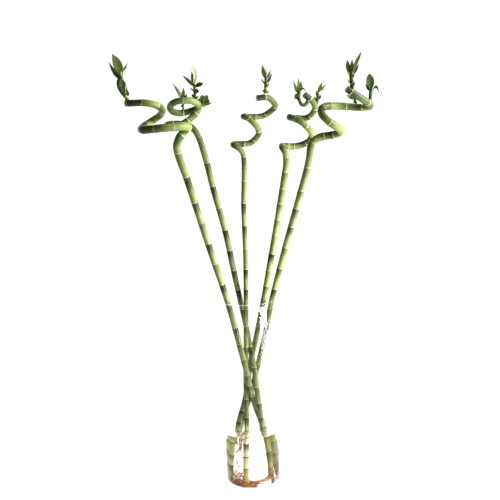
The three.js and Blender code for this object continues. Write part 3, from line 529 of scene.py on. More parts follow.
def cane_material():
    material, tree, shader = new_material("cane_skin", IOR=1.42, Specular_IOR_Level=0.2)
    grain = add_node(tree, "ShaderNodeAttribute", attribute_name="grain").outputs["Vector"]
    streak = add_noise(tree, grain, 900.0, 4.0, stretch=(1, 1, 0.05))
    blotch = add_noise(tree, grain, 70.0, 3.0, stretch=(1, 1, 0.5))
    fibre = add_noise(tree, grain, 1500.0, 2.0, stretch=(1, 1, 0))
    share = read_value(tree, "share")
    shade = read_value(tree, "shade")

    # Green skin that darkens, with a ragged start, towards the ring above.
    ragged = add_noise(tree, grain, 420.0, 3.0, stretch=(1, 1, 0.15))
    ragged = add_math(tree, "MULTIPLY_ADD", ragged, 0.3, read_value(tree, "between"))
    fade = add_range(tree, ragged, 0.4, 1.1, interpolation_type="SMOOTHSTEP")
    fade = add_math(tree, "MULTIPLY", fade, read_value(tree, "dark"))
    strength = add_fade(tree, share, (0.6, 0.8), (0.72, 0.3))
    shift = add_math(tree, "MULTIPLY_ADD", blotch, 0.18, 0.06)
    shift = add_math(tree, "MULTIPLY_ADD", shade, -0.36, shift)
    place = add_math(tree, "MULTIPLY_ADD", fade, strength, shift)
    green = add_ramp(tree, place, [
        (0.0, paint(108, 121, 60)), (0.25, paint(82, 98, 42)), (0.55, paint(60, 77, 30)),
        (0.8, paint(50, 67, 27)), (1.0, paint(42, 57, 24)),
    ])
    olive = add_ramp(tree, place, [
        (0.0, paint(126, 131, 78)), (0.3, paint(102, 110, 54)), (0.6, paint(68, 79, 34)),
        (0.85, paint(34, 43, 20)), (1.0, paint(22, 28, 14)),
    ])
    low = add_fade(tree, share, (0.5, 1), (0.72, 0))
    skin = add_mix(tree, low, green, olive)
    lines = add_fade(tree, streak, (0.3, 0.94), (0.7, 1.04))
    skin = add_product(tree, skin, lines)
    # Painted shade: a low shade darkens the skin, most on the turns and ends of the wound tops
    # that lie in shade.
    tone_and_painted_shade = add_ramp(tree, add_math(tree, "MULTIPLY_ADD", shade, 0.5, 0.5), [
        (0.0, (0.2, 0.21, 0.2, 1)), (0.35, (0.75, 0.78, 0.78, 1)), (0.6, (1, 1, 1, 1))])
    skin = add_product(tree, skin, tone_and_painted_shade)

    # Painted light: under water the skin is multiplied lighter, standing in for the light that
    # the glass and water hold back, and on a cane the water has turned pale it is nearly cream.
    wet = add_fade(tree, share, (0.09, 1), (0.125, 0))
    bleach_and_painted_light = read_value(tree, "bleach_and_painted_light")
    underwater_painted_light = add_mix(tree, bleach_and_painted_light, (1.75, 1.55, 1.05, 1), (5.1, 4.5, 4.3, 1))
    palest = add_math(tree, "MULTIPLY_ADD", bleach_and_painted_light, 6.67, -5.67)
    underwater_painted_light = add_mix(tree, palest, underwater_painted_light, (4.4, 3.7, 6.0, 1))
    skin = add_mix(tree, wet, skin, underwater_painted_light, blend="MULTIPLY")

    # Rings and scars: a tan core with a dark edge, which is partly their own dark margin and
    # partly painted shade beside the raised ring.
    scar = add_math(tree, "MAXIMUM", read_value(tree, "scar"), read_value(tree, "ring"))
    edge = add_fade(tree, scar, (0.12, 0), (0.45, 1))
    skin = add_mix(tree, edge, skin, add_mix(tree, wet, paint(66, 62, 34), paint(48, 34, 20)))
    core = add_fade(tree, scar, (0.5, 0), (0.75, 1))
    tan = add_mix(tree, wet, paint(180, 158, 116), paint(112, 70, 40))
    skin = add_mix(tree, core, skin, add_product(tree, tan, lines))

    # Brown bark in patches on the foot, and dried pith on the sawn ends.
    foot = add_fade(tree, share, (0.018, 1), (0.034, 0))
    foot = add_product(tree, foot, read_value(tree, "bark"))
    patchy = add_noise(tree, grain, 260.0, 3.0, stretch=(1, 1, 0.2))
    patchy = add_fade(tree, patchy, (0.35, 0.1), (0.6, 1))
    foot = add_product(tree, foot, patchy)
    skin = add_mix(tree, foot, skin, paint(104, 68, 28))
    pith = add_ramp(tree, fibre, [(0.35, paint(112, 110, 80)), (0.6, paint(150, 146, 112))])
    # The pith is darkened by the same tone and painted shade.
    pith = add_product(tree, pith, tone_and_painted_shade)
    skin = add_mix(tree, read_value(tree, "sawn"), skin, pith)
    rough = add_math(tree, "MULTIPLY_ADD", blotch, 0.2, 0.36)
    rough = add_math(tree, "MAXIMUM", rough, add_math(tree, "MULTIPLY", scar, 0.65))
    feed(tree, shader, Base_Color=skin, Roughness=rough)
    height = add_math(tree, "MULTIPLY_ADD", fibre, 0.4, streak)
    add_bump(tree, shader, height, 0.07, 0.0002)
    return material


# Shoots: leafy side shoots that break from the top of each cane. A soft stem carries old
# leaf scars and narrow, pointed, glossy leaves, each wrapped round it at the foot.

# A row holds the cane's place in the list of canes, the stem's radius at foot and top,
# points along the stem, and its leaves. A leaf is the share of the stem where it starts, its
# tip, its width, how far its face turns from the front in degrees, its middle's shift along
# X and Z, how pale it is, which is partly its own young colour and partly painted light where
# a leaf is lit through from behind or turned from the key light, and how blunt its tip is,
# from 0 for a point.
SHOOTS = [
    ("shoot_front_left", 0, (3.2, 2.0),
     [(-205, -131, 808), (-207, -132, 824), (-209, -133, 839), (-212, -133, 852),
      (-214, -134, 866)],
     [(0.06, (-219, -131, 854), 12, -20, (-4, 0), 0.25, 0.9),
      (0.1, (-213, -146, 851), 13, 5, (0, 0), 0.2, 0.85),
      (0.2, (-205, -142, 842), 5, 20, (1, 0), 0.75, 0.6),
      (0.15, (-202, -140, 830), 5, 10, (1, 0), 0.3, 0.4),
      (0.8, (-226, -146, 897), 17, -8, (1, 2), 0.42, 0.25),
      (0.7, (-236, -134, 885), 8.5, 10, (-1, -3), 0.12, 0),
      (0.97, (-199, -142, 881), 4.5, 0, (1, -2), 0.6, 0)]),
    ("shoot_back_left_low", 1, (1.9, 1.4),
     [(-119, 108, 783), (-118, 101, 797), (-118, 97, 811), (-118, 95, 821)],
     [(0.6, (-137, 80, 846), 7.5, 10, (3, -2), 0.4, 0),
      (0.6, (-115, 100, 835), 8, 10, (0, 0), 0.25, 0.2),
      (0.5, (-109, 92, 823), 6, -10, (1, 0), 0, 0.1),
      (0.35, (-122, 92, 798), 4.5, 20, (-1, 0), 0.2, 0)]),
    ("shoot_back_left_tall", 1, (2.6, 1.9),
     [(-91, 70, 802), (-91, 72, 812), (-91, 72, 824), (-91, 72, 835), (-92, 72, 843)],
     [(0.9, (-93, 70, 883), 9, -5, (4, 0), 1, 0),
      (0.86, (-95, 72, 868), 7, 0, (-1, 0), 0.1, 0),
      (0.8, (-114, 58, 859), 7, -5, (0, 1), 0, 0),
      (0.8, (-72, 62, 841), 9, 5, (0, 1), 0.1, 0.45),
      (0.55, (-101, 64, 833), 3.5, 0, (0, 1), 0.1, 0),
      (0.45, (-86, 58, 831), 8, 10, (3, 0), 0, 0.5),
      (0.25, (-97, 76, 821), 5, 0, (-1, 0), 0, 0.1),
      (0.22, (-83, 60, 816), 5, -20, (1, 0), 0.6, 0)]),
    ("shoot_back_left_bud", 1, (2.6, 2.0),
     [(-84, 80, 798), (-78, 77, 801), (-74, 75, 803)],
     [(0.2, (-80, 76, 810), 9, 0, (-2, 2), 0, 0.6),
      (0.3, (-73, 68, 817), 11, 0, (0, 0), 0.32, 0.85),
      (0.5, (-65, 80, 817), 11, 5, (2, -1), 0.3, 0.7),
      (0.5, (-56, 66, 802), 6, 15, (0, -3), 0.4, 0.2),
      (0.5, (-61, 72, 808), 8, 30, (3, -3), 0.15, 0.6),
      (0.4, (-69, 60, 795), 6, 0, (1, -2), 0.9, 0.5)]),
    ("shoot_back_centre", 2, (3.1, 2.3),
     [(54, 70, 808), (55, 69, 821), (56, 68, 834), (57, 68, 844), (57, 68, 851)],
     [(0.84, (50, 60, 875), 9, -5, (-1, 0), 0.2, 0),
      (0.86, (68, 74, 864), 5, 0, (1, -1), 0.15, 0),
      (0.66, (70, 66, 857), 5.5, 0, (1, -2), 0, 0),
      (0.9, (58, 76, 874), 3, 0, (1, 0), 0.8, 0),
      (0.6, (47, 60, 848), 3.5, 10, (-1, 0), 0.1, 0),
      (0.45, (63, 60, 838), 5, 0, (1, -1), 0.6, 0),
      (0.22, (38, 58, 824), 2.5, 0, (0, 1), 0.9, 0),
      (0.14, (62, 58, 823), 4.5, -20, (1, 0), 0.75, 0),
      (0.25, (50, 60, 824), 4, 0, (-1, 0), 0, 0.3)]),
    ("shoot_back_right_curved", 3, (3.8, 2.7),
     [(142, 67, 797), (136, 61, 790), (129, 59, 790), (125, 59, 797), (123, 60, 806),
      (124, 61, 814), (124, 62, 820)],
     [(0.8, (124, 66, 846), 7, 0, (0, 0), 0.6, 0),
      (0.88, (128, 58, 839), 7.5, 10, (2, 0), 0.2, 0),
      (0.84, (113, 58, 842), 6.5, 0, (-1, -3), 0.35, 0),
      (0.86, (114, 54, 800), 5.5, 0, (-2, 3), 0, 0.1),
      (0.9, (139, 52, 813), 3.5, 0, (0, 9), 0, 0),
      (0.6, (116, 66, 808), 4.5, 0, (-1, 0), 0, 0)]),
    ("shoot_back_right_upright", 3, (3.6, 2.8),
     [(158, 85, 786), (163, 85, 799), (165, 85, 810), (168, 85, 819)],
     [(0.8, (174, 88, 834), 7.5, 0, (0, 1), 0.3, 0),
      (0.86, (182, 80, 831), 4, 0, (0, 0), 0.4, 0),
      (0.85, (186, 76, 822), 2.5, 0, (-1, 1), 0.85, 0),
      (0.6, (161, 80, 819), 4, 0, (-1, -1), 0, 0.2),
      (0.35, (171, 80, 809), 4.5, 0, (1, 0), 0, 0.2),
      (0.3, (157, 80, 806), 4, 0, (-1, 0), 0, 0.2)]),
    ("shoot_front_right_tall", 4, (3.8, 3.3),
     [(213, -114, 812), (213, -113, 825), (212, -113, 836), (212, -113, 845), (213, -113, 849)],
     [(0.86, (230, -122, 884), 6.5, 0, (-1, -1), 0.4, 0.6),
      (0.84, (206, -106, 872), 9, 5, (-2, 0), 0.2, 0.25),
      (0.9, (213, -122, 872), 7.5, -5, (0, 0), 0.05, 0),
      (0.84, (227, -104, 863), 6.5, 0, (1, -1), 0, 0.3),
      (0.82, (202, -124, 852), 3.5, 0, (0, -1), 0.2, 0),
      (0.75, (216, -126, 845), 4, 0, (1, -1), 0.1, 0),
      (0.45, (205, -108, 836), 3, 20, (-1, -1), 0.5, 0),
      (0.3, (216, -126, 831), 4, 0, (1, -1), 0.1, 0)]),
    ("shoot_front_right_oval", 4, (2.8, 2.9),
     [(250, -84, 786), (250, -87, 801), (251, -88, 811), (253, -88, 817)],
     [(0.95, (248, -92, 845), 15.5, 5, (0, 0), 0.15, 0.45),
      (0.85, (242, -82, 829), 5, 0, (-1, -2), 0.1, 0),
      (0.8, (266, -98, 805), 5, 0, (2, 12), 0.15, 0)]),
    ("shoot_front_right_small", 4, (2.2, 1.4),
     [(228, -54, 783), (227, -50, 793), (224, -50, 801)],
     [(0.8, (208, -66, 807), 5.5, 10, (-1, 0), 0, 0.3),
      (0.85, (217, -62, 804), 5, 0, (0, 0), 0, 0.2),
      (0.9, (230, -46, 808), 4, 0, (1, 0), 0.1, 0),
      (0.5, (222, -58, 797), 5, 0, (-1, -2), 0.1, 0.3)]),
]

LEAF_ROWS = 26
LEAF_COLUMNS = 9

# The canes are made here, because they swell where a shoot breaks from them.
cane_skin = cane_material()
for number, cane in enumerate(CANES):
    sprouts = [stem[0] for _, grown_from, _, stem, _ in SHOOTS if grown_from == number]
    verts, faces, values = cane_mesh(cane, sprouts, number + 11)
    make_piece(cane[0], verts, faces, cane_skin, cane[0], values)


def unit(vector):
    return vector / np.linalg.norm(vector)


def leaf_width(share, blunt):
    """A leaf's width at a share of its length, of 1 at its widest; a blunt one ends round."""
    widest = 0.9 / (2.25 - blunt)
    top = widest ** 0.9 * (1 - widest) ** (1.35 - blunt)
    return share ** 0.9 * max(1 - share, 0) ** (1.35 - blunt) / top


def leaf_sheet(curve, girth, leaf, ripple):
    """Points of a leaf's middle face, in rows from its sheath round the stem to its tip, and
    the places of its columns, from -1 at one edge to 1 at the other."""
    at, tip, width, roll, bow, _, blunt = leaf
    base = np.array([at * curve[1][-1]])
    stem, direction, _, _ = (value[0] for value in frames_along(curve, base))
    thick = girth[0] + (girth[1] - girth[0]) * at
    chord = np.array(tip, float) - stem
    size = np.linalg.norm(chord)
    along = chord / size
    across = unit(np.cross(along, (0, -1, 0)))
    turn = math.radians(roll)
    across = across * math.cos(turn) + np.cross(along, across) * math.sin(turn)
    face = np.cross(across, along)
    out = along - direction * (along @ direction)
    if np.linalg.norm(out) < 0.2:
        out = -face - direction * (-face @ direction)
    out = unit(out)
    side = np.cross(direction, out)
    if side @ across < 0:
        side = -side
    v = np.linspace(-1, 1, LEAF_COLUMNS)
    rows = []
    sheath = np.linspace(-0.16, 0, 5)[:-1]
    for u in np.concatenate([sheath, np.linspace(0, 1, LEAF_ROWS - len(sheath)) ** 0.9]):
        angle = np.radians(125 - 45 * smooth((u + 0.16) / 0.3)) * v
        wrap = (stem + direction * u * size * 0.8)[None, :] + (thick + 0.35) * (
            np.cos(angle)[:, None] * out + np.sin(angle)[:, None] * side)
        share = max(u, 0)
        half = max(0.5 * width * leaf_width(share, blunt), 0.12)
        rise = math.sin(math.pi * share)
        middle = (stem + chord * share + np.array([bow[0], 0, bow[1]]) * rise
                  - face * 0.06 * size * rise)
        waves = 0.05 * half * np.sin(9 * share + 2 * v + ripple) * v ** 2
        lift = 0.24 * half * np.abs(v) ** 1.4 + waves
        blade = middle[None, :] + half * v[:, None] * across + lift[:, None] * face
        blend = smooth(share / 0.16)
        rows.append(wrap * (1 - blend) + blade * blend)
    return np.array(rows), v


def leaf_mesh(curve, girth, leaf, rng):
    """A leaf as a thin closed blade. Returns its vertices, its faces and, for each vertex,
    its place across and along the leaf, which side it is on and how pale it is."""
    width, pale = leaf[2], leaf[5]
    shape, v = leaf_sheet(curve, girth, leaf, rng.uniform(0, 6.28))
    count, columns = shape.shape[:2]
    normal = np.cross(np.gradient(shape, axis=1), np.gradient(shape, axis=0))
    normal /= np.maximum(np.linalg.norm(normal, axis=2), 1e-9)[:, :, None]
    taper = (0.42 - 0.3 * np.abs(v) ** 3)[None, :, None]
    upper = shape + normal * taper
    lower = shape - normal * taper
    verts = np.vstack([upper.reshape(-1, 3), lower.reshape(-1, 3)])
    under = count * columns
    faces = []
    for row in range(count - 1):
        for k in range(columns - 1):
            a = row * columns + k
            faces.append((a, a + 1, a + columns + 1, a + columns))
            faces.append((under + a, under + a + columns, under + a + columns + 1, under + a + 1))
        for k in (0, columns - 1):
            a = row * columns + k
            quad = (a, a + columns, under + a + columns, under + a)
            faces.append(quad if k == 0 else quad[::-1])
    for row in (0, count - 1):
        for k in range(columns - 1):
            a = row * columns + k
            quad = (a, under + a, under + a + 1, a + 1)
            faces.append(quad if row == 0 else quad[::-1])
    values = {
        "across": np.tile(v * width * 0.5, 2 * count) * MM,
        "length": np.tile(np.repeat(np.linspace(0, 1, count), columns), 2),
        "under": np.repeat([0.0, 1.0], under),
        "pale": np.full(2 * under, pale + rng.uniform(-0.05, 0.05)),
        "stem": np.zeros(2 * under),
    }
    return verts, faces, values


def stem_mesh(curve, girth, pale):
    """The shoot's stem with a low collar at every old leaf scar."""
    total = curve[1][-1]
    sides = 18
    scars = max(2, round(total / 9))
    lengths = np.linspace(0, total, 12 * scars + 1)
    share = lengths / total
    swing = 1 - np.abs((share * 2 * scars) % 2 - 1)
    collar = np.exp(-(((share * 2 * scars) % 2 - 1) / 0.16) ** 2)
    radius = (girth[0] + (girth[1] - girth[0]) * share) * (1 + 0.1 * swing + 0.07 * collar)
    centre, _, side, across = frames_along(curve, lengths)
    turn = np.linspace(0, 2 * math.pi, sides, endpoint=False)
    shape = around(centre, side, across, radius[:, None], turn)
    count = len(lengths)
    values = {
        "across": np.tile(turn * 2, count) * MM,
        "length": np.repeat(share, sides),
        "under": np.zeros(count * sides),
        "pale": np.repeat(pale + 0.25 * collar, sides),
        "stem": np.repeat(np.maximum(0.3 + 0.45 * collar, 1.1 - 6 * share), sides),
    }
    return shape.reshape(-1, 3), tube_faces(count, sides), values


def join_meshes(parts):
    """Several (vertices, faces, values) as one."""
    verts, faces, values = [], [], {}
    start = 0
    for part_verts, part_faces, part_values in parts:
        verts.append(part_verts)
        faces += [tuple(start + k for k in face) for face in part_faces]
        for label, data in part_values.items():
            values.setdefault(label, []).append(data)
        start += len(part_verts)
    return np.vstack(verts), faces, {label: np.concatenate(data) for label, data in values.items()}


def leaf_material():
    material, tree, shader = new_material("leaf", IOR=1.38, Specular_IOR_Level=0.15)
    where = add_node(tree, "ShaderNodeTexCoord").outputs["Object"]
    mottle = add_noise(tree, where, 160.0, 4.0)
    fine = add_noise(tree, where, 900.0, 3.0)
    veins = add_math(tree, "SINE", add_math(tree, "MULTIPLY", read_value(tree, "across"), 9000.0))
    veins = add_math(tree, "MULTIPLY_ADD", veins, 0.5, 0.5)
    # Painted light in the paleness: a leaf lit through from behind is painted pale yellow, and one
    # turned from the key light is painted lighter; young leaves are also paler in their own
    # colour.
    pale = read_value(tree, "pale")
    tone = add_math(tree, "MULTIPLY_ADD", mottle, 0.3, -0.1)
    tone = add_math(tree, "MULTIPLY", tone, add_math(tree, "MULTIPLY_ADD", pale, -0.8, 1.0))
    tone = add_math(tree, "ADD", tone, pale)
    skin = add_ramp(tree, tone, [
        (0.0, paint(30, 43, 14)), (0.3, paint(55, 73, 26)), (0.6, paint(98, 115, 54)),
        (1.0, paint(196, 198, 148)),
    ])
    lines = add_ramp(tree, veins, [(0.2, (0.86, 0.86, 0.86, 1)), (0.9, (1.14, 1.14, 1.1, 1))])
    skin = add_mix(tree, 0.8, skin, lines, blend="MULTIPLY")
    back = add_mix(tree, 0.3, skin, paint(88, 102, 50))
    skin = add_mix(tree, read_value(tree, "under"), skin, back)
    tip = add_fade(tree, read_value(tree, "length"), (0.93, 0), (1.0, 0.7))
    skin = add_mix(tree, tip, skin, paint(120, 108, 66))
    collar = add_fade(tree, read_value(tree, "stem"), (0.75, 0), (1.0, 0.8))
    skin = add_mix(tree, collar, skin, paint(98, 84, 50))
    rough = add_math(tree, "MULTIPLY_ADD", fine, 0.3, 0.3)
    feed(tree, shader, Base_Color=skin, Roughness=rough)
    add_bump(tree, shader, add_math(tree, "MULTIPLY_ADD", fine, 0.4, veins), 0.25, 0.0002)
    return material


# The stem of the shoot at the front left is dry and pale, and the others are green.
leaf_skin = leaf_material()
rng = np.random.default_rng(5)
for name, _, girth, stem, leaves in SHOOTS:
    curve = curve_through(stem, 24)
    parts = [stem_mesh(curve, girth, 0.7 if name == "shoot_front_left" else 0.05)]
    parts += [leaf_mesh(curve, girth, leaf, rng) for leaf in leaves]
    verts, faces, values = join_meshes(parts)
    make_piece(name, verts, faces, leaf_skin, name, values)

# Water: tap water about a third of the way up the vase. It wets the glass and the canes,
# so its surface curls up a little against both. A painted reflection, a white glow on the
# surface, stands in for the white studio that it mirrors where it is seen at a slant, and
# hides what lies under it.
WATER_LEVEL = 118.0
GLASS_GAP = 0.06
CREEP_HEIGHT = 1.3
CREEP_REACH = 1.8

edge = vase_inner(WATER_LEVEL)
bottom = VASE_FLOOR + GLASS_GAP
outline = [(0, bottom), (15, bottom), (30, bottom + 0.05), (42, bottom + 0.1)]
outline += arc(corner_centre, CORNER_ROUND - GLASS_GAP, -82, 0, 9)
outline += [(vase_inner(z) - GLASS_GAP, z) for z in np.linspace(18, WATER_LEVEL - 0.6, 14)]
outline += [(edge - inset, WATER_LEVEL + rise) for inset, rise in (
    (GLASS_GAP, 0), (GLASS_GAP, 0.3), (GLASS_GAP, 0.4), (0.11, 0.45), (0.2, 0.44),
    (0.7, 0.26), (1.4, 0.1), (2.4, 0.02))]
outline += [(r, WATER_LEVEL) for r in np.linspace(edge - 4, 3, 30)]
outline += [(0, WATER_LEVEL)]
verts, faces = turned(outline, 144)
flat_top = np.abs(verts[:, 2] - WATER_LEVEL) < 0.01
for _, stalk, _, _, _, radii in CANES:
    places, _ = curve_through(stalk)
    spot = places[np.argmax(places[:, 2] >= WATER_LEVEL)]
    away = np.linalg.norm(verts[:, :2] - spot[:2], axis=1) - radii[1]
    creep = CREEP_HEIGHT * np.exp(-np.maximum(away, 0) / CREEP_REACH)
    verts[:, 2] += np.where(flat_top, creep, 0)

water, tree, shader = new_material("water", Base_Color=(0.985, 0.985, 0.955, 1), Roughness=0.0,
                                   IOR=1.333, Transmission_Weight=1.0,
                                   Specular_Tint=(0.3, 0.3, 0.3, 1))
where = add_node(tree, "ShaderNodeTexCoord").outputs["Object"]
add_bump(tree, shader, add_noise(tree, where, 30.0, 2.0), 0.05, 0.001)
# Painted reflection: the surface glows white where it is seen at a slant, and the brim glows a
# dull tan over a darker line.
slant = add_node(tree, "ShaderNodeLayerWeight", {"Blend": 0.5}).outputs["Facing"]
painted_reflection = add_range(tree, slant, 0.35, 0.7, 0.0, 0.95)
painted_reflection = add_math(tree, "MULTIPLY_ADD", painted_reflection, read_value(tree, "top"), read_value(tree, "corner"))
painted_brim = read_value(tree, "painted_brim")
painted_reflection = add_math(tree, "MAXIMUM", painted_reflection, painted_brim)
tint = add_mix(tree, painted_brim, (1.0, 1.0, 0.95, 1), (0.5, 0.44, 0.3, 1))
feed(tree, shader, Emission_Color=tint, Emission_Strength=painted_reflection,
     Transmission_Weight=add_math(tree, "SUBTRACT", 1.0, painted_reflection))

# The painted reflection lies on the surface, most at its two sides, and a painted white glow
# lies in the corner at the back and over the bare floor at the front right. The front brim
# is a thin painted darker line.
x, y, z = verts.T
top_painted_reflection = (0.1 + 0.9 * smooth((np.abs(x) / edge - 0.5) / 0.2)) * (z > WATER_LEVEL - 0.1)
back_painted_glow = 0.8 * smooth((24 - z) / 8) * smooth((y - 5) / 20)
bare_painted_glow = 0.9 * smooth((x - 3) / 8) * smooth((38 - x) / 6) * (y < 5) * (z < 22)
bare_painted_glow *= np.where(z < VASE_FLOOR + 0.4, 1.0, smooth((6 + 0.45 * x - z) / 5))
painted_brim_line = 0.3 * (np.hypot(x, y) > edge - 0.9) * (z > WATER_LEVEL + 0.05) * (y < 0)
make_piece("water", verts, faces, water, "water", {
    "top": top_painted_reflection, "corner": np.maximum(back_painted_glow, bare_painted_glow), "painted_brim": painted_brim_line,
})

# Roots: a mat of fine red-brown roots that has grown over the front left of the vase's
# floor, with bundles that run on to the right feet, fibres up each foot and a few roots
# that hang from a ring of the centre cane. They grew together and tangle with each other.
MAT_CENTRE = np.array([-20.0, -25.0])
MAT_SIZE = np.array([25.0, 20.0])
MAT_HEIGHT = 10.0
MAT_STRANDS = 120
LOOSE_STRANDS = 70
LOOSE_TOP = 38
# A bundle's path and its number of roots.
BUNDLES = [
    ([(32, -32, 28), (25, -33, 22), (12, -35, 17), (0, -36, 13), (-10, -36, 12)], 4),
    ([(34, -27, 20), (25, -29, 17), (12, -31, 15), (0, -33, 13), (-14, -36, 12)], 3),
    ([(38, 17, 18), (45, 0, 16), (41, -16, 17), (36, -24, 18)], 3),
]
# The number of fibres on each cane's foot, and how high they climb.
FOOT_FIBRES = [(16, 26), (20, 24), (8, 10), (14, 18), (12, 14)]
# A hanging root's path, the number of its strands, how far they spread and how light they
# are, which is partly their own colour and partly painted light against the shade of the centre
# cane.
HANGING_ROOTS = [
    ([(-16, -20.5, 120), (-17.5, -20.5, 108), (-19, -20, 98), (-20.6, -19, 90)], 9, 1.1, 0.55),
    ([(-17, -21.5, 117), (-21, -18.5, 108), (-22, -18, 98), (-20.5, -19, 90)], 8, 1.0, 0.6),
    ([(-19, -18, 116), (-26, -14, 108), (-26.5, -14, 99), (-23, -17, 91)], 6, 0.9, 0.5),
    ([(-20.5, -19, 92), (-23, -17.5, 84), (-26, -15.6, 79), (-29.5, -13.8, 74.5)], 5, 0.6, 0.5),
    ([(-20.5, -19, 88), (-21.5, -19, 81), (-23, -18.5, 76)], 3, 0.7, 0.7),
    ([(-21, -20, 75), (-19.6, -21, 71), (-18.2, -22, 66)], 3, 0.5, 0.9),
    ([(-28, -15.5, 58), (-26.5, -16.5, 52), (-24.5, -17.5, 45)], 3, 0.6, 0.8),
]
KNOT = np.array([-20.6, -19.0, 91.0])
KNOT_STRANDS = 14
SPROUTING_RING = np.array([-10, -20, 121])
NUBS = 14
# A nub's path: distances out from the cane's middle, and down from the ring.
NUB_PATH = [(5.4, 0), (6.6, -0.6), (7.4, -2.2), (7.6, -4.5)]
# The lowest points of each cane's centreline, and its radius at the foot.
FEET = [(np.array(stalk[0], float), np.array(stalk[1], float), radii[0])
        for _, stalk, _, _, _, radii in CANES]
rng = np.random.default_rng(21)


def mat_top(spot):
    """The height of the mat's top over a spot on the floor."""
    far = np.linalg.norm((spot[:2] - MAT_CENTRE) / MAT_SIZE)
    return VASE_FLOOR + 1.4 + MAT_HEIGHT * max(0.0, 1 - far ** 2)


def keep_in_vase(spot, margin=1.2):
    """Moves a spot in from the glass, by more in the round corner of the floor."""
    limit = vase_inner(spot[2]) - margin - max(0.0, CORNER_HEIGHT - spot[2]) * 0.5
    reach = np.hypot(spot[0], spot[1])
    if reach > limit:
        spot[:2] *= limit / reach
    return spot


def keep_off_canes(spot, margin=0.9):
    """Moves a spot that lies inside a cane out to its skin."""
    for low, high, girth in FEET:
        axis = (low + (high - low) * (spot[2] - low[2]) / (high[2] - low[2]))[:2]
        away = spot[:2] - axis
        gap = max(np.linalg.norm(away), 0.01)
        if gap < girth * 1.08 + margin:
            spot[:2] = axis + away / gap * (girth * 1.08 + margin)
    return spot


def root_strand(points, radius, tone):
    """A tapering root through points, slightly knotted along its length."""
    curve = curve_through(points, 4)
    total = curve[1][-1]
    rows, sides = max(6, int(total / 1.6)), 6
    lengths = np.linspace(0, total, rows)
    centre, _, side, across = frames_along(curve, lengths)
    girth = radius * (1 - 0.55 * lengths / total) * (1 + 0.16 * rng.standard_normal(rows))
    turn = np.linspace(0, 2 * math.pi, sides, endpoint=False)
    shape = around(centre, side, across, girth[:, None], turn)
    tones = np.repeat(np.clip(tone + 0.25 * lengths / total, 0, 1), sides)
    return shape.reshape(-1, 3), tube_faces(rows, sides), {"tone": tones}


def scattered(path, each, whole):
    """Points of a smooth path, each of them moved at random and then the path as a whole."""
    places, _ = curve_through(path, 4)
    return places + rng.normal(0, each, places.shape) + rng.normal(0, whole, 3)


def wander(start, heading, steps, stride, bend, height):
    """Points of a root that creeps on over the floor from a start, below a height rule."""
    spot = np.array(start, float)
    points = [spot.copy()]
    for _ in range(steps):
        heading += rng.normal(0, bend)
        spot = spot + np.array([math.cos(heading), math.sin(heading), 0]) * stride
        spot[2] = height(spot)
        spot = keep_in_vase(keep_off_canes(spot))
        points.append(spot.copy())
    return points


def mat_layer(spot, layer):
    """The height over a spot of a layer of the mat, from 0 at the floor to 1 at its top."""
    return VASE_FLOOR + 1 + layer * (mat_top(spot) - VASE_FLOOR - 1)


strands = []
for _ in range(MAT_STRANDS):
    reach = math.sqrt(rng.random()) * 0.95
    angle = rng.uniform(0, 2 * math.pi)
    spot = MAT_CENTRE + MAT_SIZE * reach * np.array([math.cos(angle), math.sin(angle)])
    layer = rng.random() ** 0.6
    start = keep_in_vase(keep_off_canes(np.array([*spot, mat_layer(spot, layer)])))
    points = wander(start, rng.uniform(0, 6.28), 7, rng.uniform(2.0, 4.0), 0.5,
                    lambda spot: mat_layer(spot, layer) + rng.normal(0, 0.5))
    strands.append(root_strand(points, rng.uniform(0.6, 1.05), rng.uniform(0, 0.9)))
for _ in range(LOOSE_STRANDS):
    start = np.array([rng.uniform(-40, -14), rng.uniform(-42, -10), rng.uniform(16, LOOSE_TOP)])
    points = wander(keep_off_canes(start), rng.uniform(0, 6.28), 7, rng.uniform(1.8, 3.2), 0.8,
                    lambda spot: np.clip(spot[2] + rng.normal(-0.4, 1.8),
                                         VASE_FLOOR + 2, LOOSE_TOP))
    strands.append(root_strand(points, rng.uniform(0.5, 0.75), rng.uniform(0.2, 0.9)))
for path, count in BUNDLES:
    for _ in range(count):
        places = [keep_in_vase(keep_off_canes(spot)) for spot in scattered(path, 0.5, 1.6)]
        strands.append(root_strand(places, rng.uniform(0.6, 0.9), rng.uniform(0.35, 1)))
for (foot, above, girth), (count, climb) in zip(FEET, FOOT_FIBRES):
    lean = (above - foot) / (above[2] - foot[2])
    for _ in range(count):
        angle = rng.uniform(0, 2 * math.pi)
        top = rng.uniform(7, climb)
        points = []
        for share in (0, 0.3, 0.6, 0.85, 1):
            height = top * (1 - share) + 1.5
            angle += rng.normal(0, 0.12)
            out = girth * 1.08 + 0.7 + 2.5 * share ** 3 + rng.normal(0, 0.15)
            spot = foot + lean * height + out * np.array([math.cos(angle), math.sin(angle), 0])
            points.append(keep_in_vase(spot))
        strands.append(root_strand(points, rng.uniform(0.35, 0.6), rng.uniform(0, 0.6)))
for path, count, spread, tone in HANGING_ROOTS:
    for _ in range(count):
        places = scattered(path, 0.5 * spread, 0.6 * spread)
        radius = rng.uniform(0.6, 1.0)
        strands.append(root_strand(places, radius, tone + rng.uniform(-0.25, 0.25)))
for _ in range(NUBS):
    angle = rng.uniform(0, 2 * math.pi)
    out = np.array([math.cos(angle), math.sin(angle), 0])
    nub = [SPROUTING_RING + out * reach + (0, 0, drop) for reach, drop in NUB_PATH]
    strands.append(root_strand(nub, 0.45, rng.uniform(0.75, 1)))
for _ in range(KNOT_STRANDS):
    strands.append(root_strand(KNOT + rng.normal(0, 1.2, (4, 3)), 0.5, rng.uniform(0.2, 0.6)))
verts, faces, values = join_meshes(strands)

